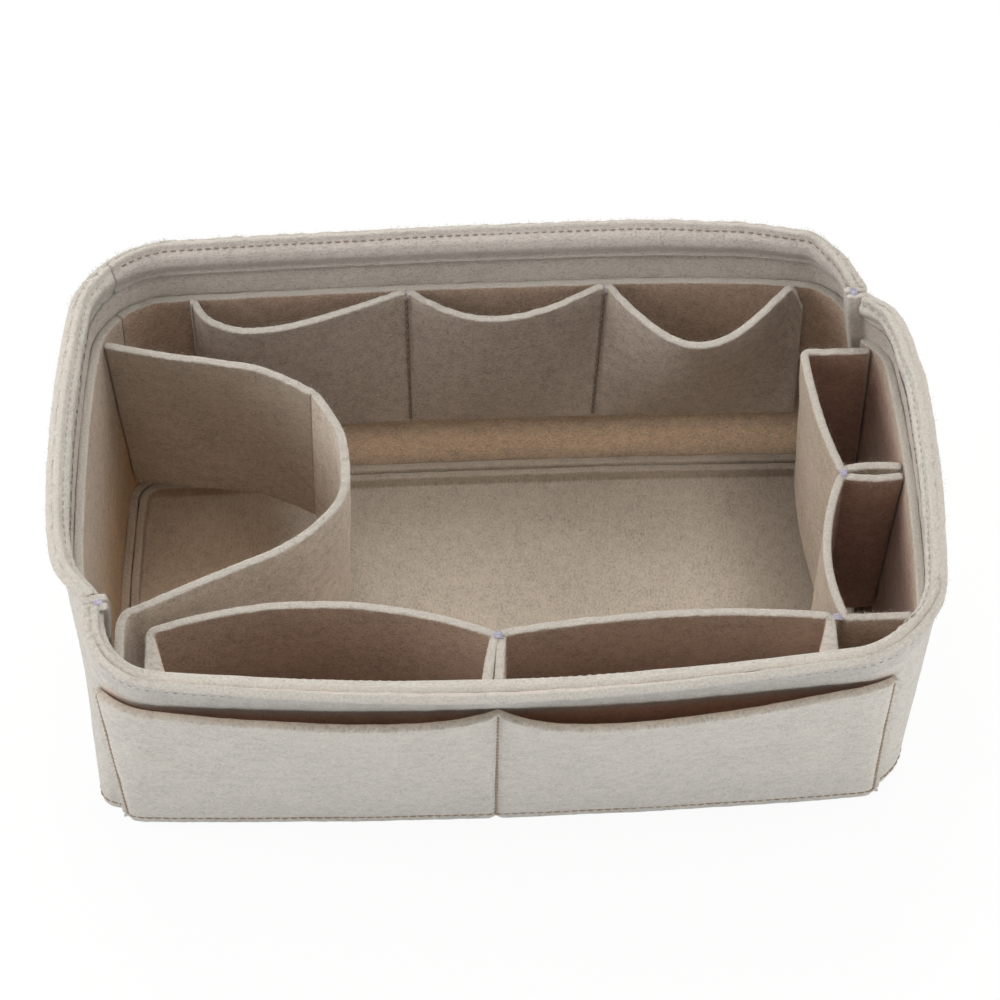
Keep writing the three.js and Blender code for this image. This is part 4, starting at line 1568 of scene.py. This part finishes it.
# Rows: points along each, how far they keep from edges, and the height of the one round the base
RIM_ROW_STEPS = 400
PANEL_ROW_STEPS = 300
PANEL_SEAM_STEPS = 80
PANEL_HALF_STEPS = 50
BASE_ROW_STEPS = 600
BACK_ROW_STEPS = 60
PANEL_ROW_TOP = 0.99
BASE_ROW_CLEAR = 0.02
BASE_ROW_HEIGHT = 4 * MM
BACK_ROW_FOOT = 2 * MM
BACK_ROW_TOP = 1 * MM

# Stitching: its thread, and its pitch, the share of it that shows and its thickness as times of the sizes
Sewing = namedtuple("Sewing", "thread pitch cover thick")
SEWING = {
    "stitches_rim_back": Sewing("brown_thread", 0.66, 0.68, 0.9),
    "stitches_rim_ends": Sewing("pale_thread", 0.66, 0.68, 0.8),
    "stitches_rim_outside": Sewing("pale_thread", 0.66, 0.6, 0.8),
    "stitches_panel": Sewing("tan_thread", 0.65, 1.05, 1.9),
    "stitches_base": Sewing("tan_thread", 0.65, 1, 1.2),
    "stitches_back_pockets": Sewing("thread", 0.65, 1.05, 1.5),
}


def stitch_shape():
    """Points and quads of one stitch: hexagons carried along a low arch, closed by two quads at each end."""
    angle = 2 * np.pi * np.arange(STITCH_SIDES) / STITCH_SIDES
    along = np.repeat(STITCH_RINGS[:, :1], STITCH_SIDES, axis=1)
    side = STITCH_RINGS[:, 1:2] * np.cos(angle)
    up = STITCH_RINGS[:, 1:2] * np.sin(angle) + STITCH_RINGS[:, 2:]
    points = np.stack([along, side, up], axis=-1).reshape(-1, 3)
    ring = np.arange(len(STITCH_RINGS) - 1)[:, None] * STITCH_SIDES
    spot = np.arange(STITCH_SIDES)[None, :]
    after = (spot + 1) % STITCH_SIDES
    corners = (ring + spot, ring + after, ring + STITCH_SIDES + after, ring + STITCH_SIDES + spot)
    quads = np.stack(np.broadcast_arrays(*corners), axis=-1).reshape(-1, 4)
    far = STITCH_LID[:, ::-1] + (len(STITCH_RINGS) - 1) * STITCH_SIDES
    return points, np.concatenate([quads, STITCH_LID, far])


def stitch_mesh(name, centres, along, up, half_length, radius):
    """Mesh of many stitches: the one stitch set along and up at each centre."""
    base, quads = stitch_shape()
    side = np.cross(up, along)
    axes = np.stack([along * half_length, side * radius, up * radius], axis=1)
    points = centres[:, None, :] + np.einsum("pk,nkc->npc", base, axes)
    shift = np.arange(len(centres))[:, None, None] * len(base)
    return new_mesh(name, points.reshape(-1, 3), (quads[None] + shift).reshape(-1, 4))


def sew(pitch, line, outward_line):
    """Centres, directions and normals of stitches at even steps along a line on a surface."""
    run = travel(line)
    count = max(int(run[-1] / pitch), 1)
    place = (np.arange(count) + 0.5) * run[-1] / count

    def at(values, where):
        """Values at places along the line, by straight blends."""
        return np.stack([np.interp(where, run, values[:, axis]) for axis in range(3)], axis=-1)

    quarter = run[-1] / count / 4
    along = unit(at(line, place + quarter) - at(line, place - quarter))
    up = at(unit(outward_line), place)
    up = unit(up - along * (up * along).sum(axis=-1, keepdims=True))
    return at(line, place), along, up


def wall_line(shape, stations, z, depth, inside):
    """Line along the wall at a depth, with its normals to the inside or to the outside."""
    line = wall_point(shape, stations, z, depth)
    normal = wall_point(shape, stations, z, depth + MM) - line
    return line, normal if inside else -normal


def rim_rows(shape, stretches, inside):
    """Rows of stitches along stretches of the rim, on the facings or on the outside."""
    rim = np.array(shape.height - FACING_STITCH_DROP)
    heights = upright(shape, shape.height - shape.facing_width, shape.height, 2 * RIM_ROWS, FACING_EDGE)
    pad = facing_pad(shape, heights)
    margin = shape.layer + 2 * shape.seam_gap
    rows = []
    for start, finish in stretches:
        first = seam_station(shape, start, margin, rim)
        last = seam_station(shape, finish, -margin, rim)
        stations = np.linspace(first, last, RIM_ROW_STEPS)
        front = smooth(*FRONT_ROW_START, stations) * smooth(*FRONT_ROW_FINISH, stations)
        z = shape.height - mix(FACING_STITCH_DROP, FRONT_STITCH_DROP, front)
        face = shape.layer + shape.felt + np.interp(z, heights, pad)
        rows.append(wall_line(shape, stations, z, face if inside else 0, inside))
    return rows


def panel_rows(shape):
    """Rows of stitches on the panel: up its left, centre and right seams, and along its foot."""
    face = shape.felt - PANEL_SEAM_DENT
    half_way = np.full(PANEL_HALF_STEPS, 0.5)
    pocket = travel(panel_point(shape, np.linspace(0, 1, PANEL_HALF_STEPS), half_way, face))[-1]
    inset = PANEL_SEAM_INSET / pocket
    low = PANEL_FOOT_ROW / (shape.height - shape.panel_drop)

    def row(place, share):
        """Line on the panel, and its normals: the same line a little further out, less the line."""
        line = panel_point(shape, place, share, face)
        return line, panel_point(shape, place, share, face + MM) - line

    up = np.linspace(low, PANEL_ROW_TOP, PANEL_SEAM_STEPS)
    rows = [row(np.full(len(up), float(place)), up) for place in (inset, 1, 2 - inset)]
    along = np.linspace(inset, 2 - inset, PANEL_ROW_STEPS)
    rows.append(row(along, np.full(len(along), low)))
    return rows


def base_rows(shape):
    """Row of stitches round the outside of the base, from one side of the panel to the other."""
    left = PANEL_SEAMS[0][0] - BASE_ROW_CLEAR
    right = PANEL_SEAMS[2][0] + BASE_ROW_CLEAR
    stations = np.linspace(right, left + FULL_TURN, BASE_ROW_STEPS)
    return [wall_line(shape, stations, BASE_ROW_HEIGHT, 0, False)]


def back_rows(shape):
    """Rows of stitches down the two seams between the back pockets."""
    top = shape.pocket_top + shape.back_rise - BACK_ROW_TOP
    z = np.linspace(shape.back_foot + BACK_ROW_FOOT, top, BACK_ROW_STEPS)
    rows = []
    for seam in shape.back_ends[1:3]:
        x = seam + seam_lean(shape, seam) * np.linspace(1, 0, len(z))
        y = back_face(shape, x, z) - shape.layer
        line = np.stack([x, y, z], axis=-1)
        rows.append((line, np.broadcast_to((0.0, -1.0, 0.0), line.shape)))
    return rows


class INSERT_OT_stitching(bpy.types.Operator):
    """Sews the rows of stitches round the rim, on the panel, round the base and down the back pockets."""

    bl_idname = "insert.stitching"
    bl_label = "Stitching"

    def execute(self, context):
        shape = insert_shape(context)
        groups = {
            "stitches_rim_back": rim_rows(shape, RIM_BACK, True),
            "stitches_rim_ends": rim_rows(shape, RIM_ENDS, True),
            "stitches_rim_outside": rim_rows(shape, RIM_BACK + RIM_ENDS, False),
            "stitches_panel": panel_rows(shape),
            "stitches_base": base_rows(shape),
            "stitches_back_pockets": back_rows(shape),
        }
        for name, rows in groups.items():
            kind = SEWING[name]
            pitch = kind.pitch * shape.stitch
            sewn = [sew(pitch, *row) for row in rows]
            centres, along, up = (np.concatenate(parts) for parts in zip(*sewn))
            thick = kind.thick * shape.thread
            mesh = stitch_mesh(name, centres, along, up, kind.cover * pitch / 2, thick / 2)
            shade = getattr(context.scene.insert_colours, kind.thread)
            add_object(context, name, mesh, thread_finish(kind.thread, shade))
        return {"FINISHED"}


# Bar tacks: threads of each, their length, the step from one to the next, and how far they fan out
TACK_THREADS = 5
TACK_WIDTH = 3.6 * MM
TACK_PITCH = 0.5 * MM
TACK_FAN = 0.06


def tack_threads(centre, across, up):
    """Threads of one bar tack: a row of short stitches side by side, with a slight fan."""
    place = (np.arange(TACK_THREADS) - (TACK_THREADS - 1) / 2)[:, None]
    side = np.cross(up, across)
    fan = unit(across + side * place * TACK_FAN)
    centres = centre + side * place * TACK_PITCH
    return centres, fan, np.broadcast_to(up, fan.shape)


def tack_places(shape):
    """Places of the bar tacks: seam tops at the rim, and the shared corners of the pockets."""
    top = shape.pocket_top
    front = shape.front_mouth[1] - shape.rim_depth / 2
    side = shape.rim_length / 2 - shape.side_mouth[1]
    right = np.array((1.0, 0, 0))
    back = np.array((0, 1.0, 0))
    high = np.array((0, 0, 1.0))
    right_corner = (shape.front_ends[2], shape.front_mouth[2] - shape.rim_depth / 2, top)
    front_corner = (shape.rim_length / 2 - shape.side_mouth[0], shape.side_ends[0], top)
    places = [
        (np.array((shape.front_ends[1], front - shape.felt / 4, top)), right, high),
        (np.array((side + shape.felt / 4, shape.side_ends[1], top)), back, high),
        (mix(np.array(right_corner), np.array(front_corner), 0.5) - high * shape.thread / 2, right, high),
    ]
    for seam in (FRONT_LEFT_SEAM, BACK_RIGHT_SEAM):
        z = np.array(shape.height)
        point = level_point(shape, seam, z, shape.felt + shape.flange / 2)
        places.append((point, np.append(wall_direction(shape, seam, z), 0), high))
    for seam in shape.back_ends[1:3]:
        z = top + shape.back_rise - BACK_ROW_TOP
        y = back_face(shape, np.array(seam), np.array(z)) - shape.layer
        places.append((np.array((seam, float(y) + shape.thread, z)), right, unit(high - back)))
    return places


class INSERT_OT_tacks(bpy.types.Operator):
    """Sews the bar tacks that hold the seam tops and the pocket corners."""

    bl_idname = "insert.tacks"
    bl_label = "Bar tacks"

    def execute(self, context):
        shape = insert_shape(context)
        finish = thread_finish("tack_thread", context.scene.insert_colours.tack)
        sewn = [tack_threads(*place) for place in tack_places(shape)]
        centres, along, up = (np.concatenate(parts) for parts in zip(*sewn))
        mesh = stitch_mesh("bar_tacks", centres, along, up, TACK_WIDTH / 2, shape.thread / 2)
        add_object(context, "bar_tacks", mesh, finish)
        return {"FINISHED"}


# Loose fibres: share of the cut points that has one, sizes, slant, and the height below which there are none
FIBRE_SHARE = 0.85
FIBRE_LENGTH = (0.5 * MM, 1.7 * MM)
FIBRE_THICK = 0.06 * MM
FIBRE_SLANT = 0.8
FIBRE_SCATTER = 0.4 * MM
FIBRE_SEED = 11
FIBRE_FLOOR = 40 * MM
FIBRE_FACES = np.array([(0, 2, 1), (0, 1, 3), (1, 2, 3), (2, 0, 3)])
CUT_ENOUGH = 0.55


def cut_points(piece):
    """Points and normals of a felt piece where it is cut."""
    mesh = piece.data
    count = len(mesh.vertices)
    points = np.empty((count, 3), np.float32)
    normals = np.empty((count, 3), np.float32)
    cut = np.empty(count, np.float32)
    mesh.vertices.foreach_get("co", points.ravel())
    mesh.vertex_normals.foreach_get("vector", normals.ravel())
    mesh.attributes["cut"].data.foreach_get("value", cut)
    chosen = (cut > CUT_ENOUGH) & (points[:, 2] > FIBRE_FLOOR)
    return points[chosen], normals[chosen]


def spikes(points, normals):
    """Loose fibres at a drawn share of the points: three-sided spikes, slanted off the normal by a draw."""
    random = np.random.default_rng(FIBRE_SEED)
    chosen = random.uniform(size=len(points)) < FIBRE_SHARE
    root = points[chosen] + random.normal(scale=FIBRE_SCATTER, size=(chosen.sum(), 3))
    lean = unit(normals[chosen] + random.normal(scale=FIBRE_SLANT, size=root.shape))
    side = unit(np.cross(lean, random.normal(size=root.shape)))
    angle = 2 * np.pi * np.arange(3)[None, :, None] / 3
    ring = np.cos(angle) * side[:, None] + np.sin(angle) * np.cross(lean, side)[:, None]
    tip = root + lean * random.uniform(*FIBRE_LENGTH, (len(root), 1))
    return np.concatenate([root[:, None] + FIBRE_THICK * ring, tip[:, None]], axis=1)


class INSERT_OT_fibres(bpy.types.Operator):
    """Raises loose fibres along the cut edges of the felt."""

    bl_idname = "insert.fibres"
    bl_label = "Loose fibres"

    def execute(self, context):
        felt = [piece for piece in context.scene.objects if piece.name.startswith("felt_")]
        points, normals = (np.concatenate(parts) for parts in zip(*map(cut_points, felt)))
        fibres = spikes(points, normals)
        shift = np.arange(len(fibres))[:, None, None] * fibres.shape[1]
        faces = (FIBRE_FACES[None] + shift).reshape(-1, 3)
        mesh = new_mesh("loose_fibres", fibres.reshape(-1, 3), faces)
        shade = context.scene.insert_colours.cut
        add_object(context, "loose_fibres", mesh, thread_finish("loose_fibre", shade))
        return {"FINISHED"}


# Camera: its axes to the right, up and back, its place in metres, and its lens and sensor in millimetres
CAMERA_AXES = ((0.99919, -0.04013, 0), (0.03287, 0.81849, 0.57358), (-0.02302, -0.57311, 0.81915))
CAMERA_PLACE = (-0.0217, -0.5724, 0.9028)
CAMERA_LENS = 104.4
SENSOR = 36

# Stage: half the floor's width and its drop below the insert, the sky's strength, and the floor's whiteness
FLOOR_HALF = 4
FLOOR_DROP = 0.3 * MM
SKY_LIGHT = 0.1
FLOOR_WHITENESS = 0.93
# Soft lamps: name, place, aim, width, height, power and colour
LAMPS = (
    ("top_softbox", (0, 0, 1.5), (0, 0, 0), 1.2, 1.2, 9.8, (1, 0.97, 0.92)),
    ("back_softbox", (0, 0.9, 1.3), (0, 0, 0), 1, 1, 13, (1, 0.97, 0.92)),
    ("left_softbox", (-1.3, 0, 0.7), (0, 0, 0.05), 1, 1, 15.2, (1, 1, 1)),
    ("right_softbox", (1.3, 0, 0.7), (0, 0, 0.05), 1, 1, 7, (1, 1, 1)),
    ("right_card", (1.25, -0.6, 0.12), (0, 0, 0.06), 0.9, 0.24, 4.8, (1, 1, 1)),
    ("front_card", (0, -1.2, 0.14), (0, 0, 0.06), 1.6, 0.26, 6, (0.95, 0.985, 1)),
)


def camera_matrix():
    """World matrix of the camera from its axes and its place."""
    made = Matrix(CAMERA_AXES).transposed().to_4x4()
    made.translation = CAMERA_PLACE
    return made


def add_camera(context):
    """Camera at the photograph's angle."""
    data = bpy.data.cameras.new("camera")
    data.lens = CAMERA_LENS
    data.sensor_width = SENSOR
    camera = bpy.data.objects.new("camera", data)
    camera.matrix_world = camera_matrix()
    context.scene.collection.objects.link(camera)
    context.scene.camera = camera


def add_lamp(context, name, place, aim, width, height, power, shade):
    """Softbox turned to what it lights."""
    data = bpy.data.lights.new(name, "AREA")
    data.shape = "RECTANGLE"
    data.size = width
    data.size_y = height
    data.energy = power
    data.color = shade
    lamp = bpy.data.objects.new(name, data)
    toward = unit(np.array(aim) - np.array(place))
    lamp.location = place
    lamp.rotation_mode = "QUATERNION"
    lamp.rotation_quaternion = Vector(toward).to_track_quat("-Z", "Y")
    context.scene.collection.objects.link(lamp)


def seen_directly(tree):
    """1 for rays from the camera and for reflected and refracted ones, and 0 for light that only bounces."""
    path = tree.nodes.new("ShaderNodeLightPath")
    total = path.outputs["Is Camera Ray"]
    for name in ("Is Glossy Ray", "Is Transmission Ray"):
        larger = tree.nodes.new("ShaderNodeMath")
        larger.operation = "MAXIMUM"
        tree.links.new(total, larger.inputs[0])
        tree.links.new(path.outputs[name], larger.inputs[1])
        total = larger.outputs[0]
    return total


def add_sky(context):
    """White surround that looks full white and lights the insert at its own level."""
    world = bpy.data.worlds.new("studio")
    world.use_nodes = True
    context.scene.world = world
    tree = world.node_tree
    light = tree.nodes["Background"]
    light.inputs["Color"].default_value = grey(1)
    light.inputs["Strength"].default_value = SKY_LIGHT
    seen = tree.nodes.new("ShaderNodeBackground")
    seen.inputs["Color"].default_value = grey(1)
    choice = tree.nodes.new("ShaderNodeMixShader")
    tree.links.new(seen_directly(tree), choice.inputs[0])
    tree.links.new(light.outputs[0], choice.inputs[1])
    tree.links.new(seen.outputs[0], choice.inputs[2])
    tree.links.new(choice.outputs[0], tree.nodes["World Output"].inputs["Surface"])


def floor_finish(shade):
    """Pale floor that the camera sees nearly white, with the shadow of the insert left on it."""
    material = bpy.data.materials.new("pale_floor")
    material.use_nodes = True
    tree = material.node_tree
    surface = tree.nodes["Principled BSDF"]
    surface.inputs["Base Color"].default_value = opaque(shade)
    surface.inputs["Roughness"].default_value = 1
    surface.inputs["Specular IOR Level"].default_value = 0
    glow = tree.nodes.new("ShaderNodeEmission")
    share = tree.nodes.new("ShaderNodeMath")
    share.operation = "MULTIPLY"
    share.inputs[1].default_value = FLOOR_WHITENESS
    choice = tree.nodes.new("ShaderNodeMixShader")
    tree.links.new(seen_directly(tree), share.inputs[0])
    tree.links.new(share.outputs[0], choice.inputs[0])
    tree.links.new(surface.outputs[0], choice.inputs[1])
    tree.links.new(glow.outputs[0], choice.inputs[2])
    tree.links.new(choice.outputs[0], tree.nodes["Material Output"].inputs["Surface"])
    return material


def add_floor(context):
    """Plain floor under the insert."""
    corners = np.array([(-1, -1), (1, -1), (1, 1), (-1, 1)]) * FLOOR_HALF
    points = np.column_stack([corners, np.full(len(corners), -FLOOR_DROP)])
    mesh = bpy.data.meshes.new("floor")
    mesh.from_pydata(points, [], [(0, 1, 2, 3)])
    mesh.materials.append(floor_finish(context.scene.insert_colours.floor))
    floor = bpy.data.objects.new("floor", mesh)
    context.scene.collection.objects.link(floor)


class INSERT_OT_stage(bpy.types.Operator):
    """Sets the floor, the soft lamps, the white surround and the camera."""

    bl_idname = "insert.stage"
    bl_label = "Stage"

    def execute(self, context):
        context.scene.view_settings.view_transform = "Standard"
        add_floor(context)
        add_sky(context)
        for lamp in LAMPS:
            add_lamp(context, *lamp)
        add_camera(context)
        return {"FINISHED"}


OPERATORS = (
    INSERT_OT_stage,
    INSERT_OT_base,
    INSERT_OT_walls,
    INSERT_OT_linings,
    INSERT_OT_back_pockets,
    INSERT_OT_box_pockets,
    INSERT_OT_bottle_loop,
    INSERT_OT_outer_pockets,
    INSERT_OT_stitching,
    INSERT_OT_tacks,
    INSERT_OT_fibres,
)


class INSERT_PT_pieces(bpy.types.Panel):
    """Lists the pieces, the sizes and the colours of the insert."""

    bl_label = "Felt insert"
    bl_space_type = "VIEW_3D"
    bl_region_type = "UI"
    bl_category = "Insert"

    def draw(self, context):
        for operator in OPERATORS:
            self.layout.operator(operator.bl_idname)
        for group in (context.scene.insert_sizes, context.scene.insert_colours):
            box = self.layout.box()
            for name in type(group).__annotations__:
                box.prop(group, name)


CLASSES = (InsertSizes, InsertColours, *OPERATORS, INSERT_PT_pieces)


def register():
    """Makes the sizes, colours, operators and panel known to Blender."""
    for each in CLASSES:
        bpy.utils.register_class(each)
    bpy.types.Scene.insert_sizes = bpy.props.PointerProperty(type=InsertSizes)
    bpy.types.Scene.insert_colours = bpy.props.PointerProperty(type=InsertColours)


def unregister():
    """Takes them out again."""
    del bpy.types.Scene.insert_colours
    del bpy.types.Scene.insert_sizes
    for each in reversed(CLASSES):
        bpy.utils.unregister_class(each)


def main():
    """Builds everything in order."""
    register()
    bpy.ops.insert.stage()
    bpy.ops.insert.base()
    bpy.ops.insert.walls()
    bpy.ops.insert.linings()
    bpy.ops.insert.back_pockets()
    bpy.ops.insert.box_pockets()
    bpy.ops.insert.bottle_loop()
    bpy.ops.insert.outer_pockets()
    bpy.ops.insert.stitching()
    bpy.ops.insert.tacks()
    bpy.ops.insert.fibres()


if __name__ == "__main__":
    main()
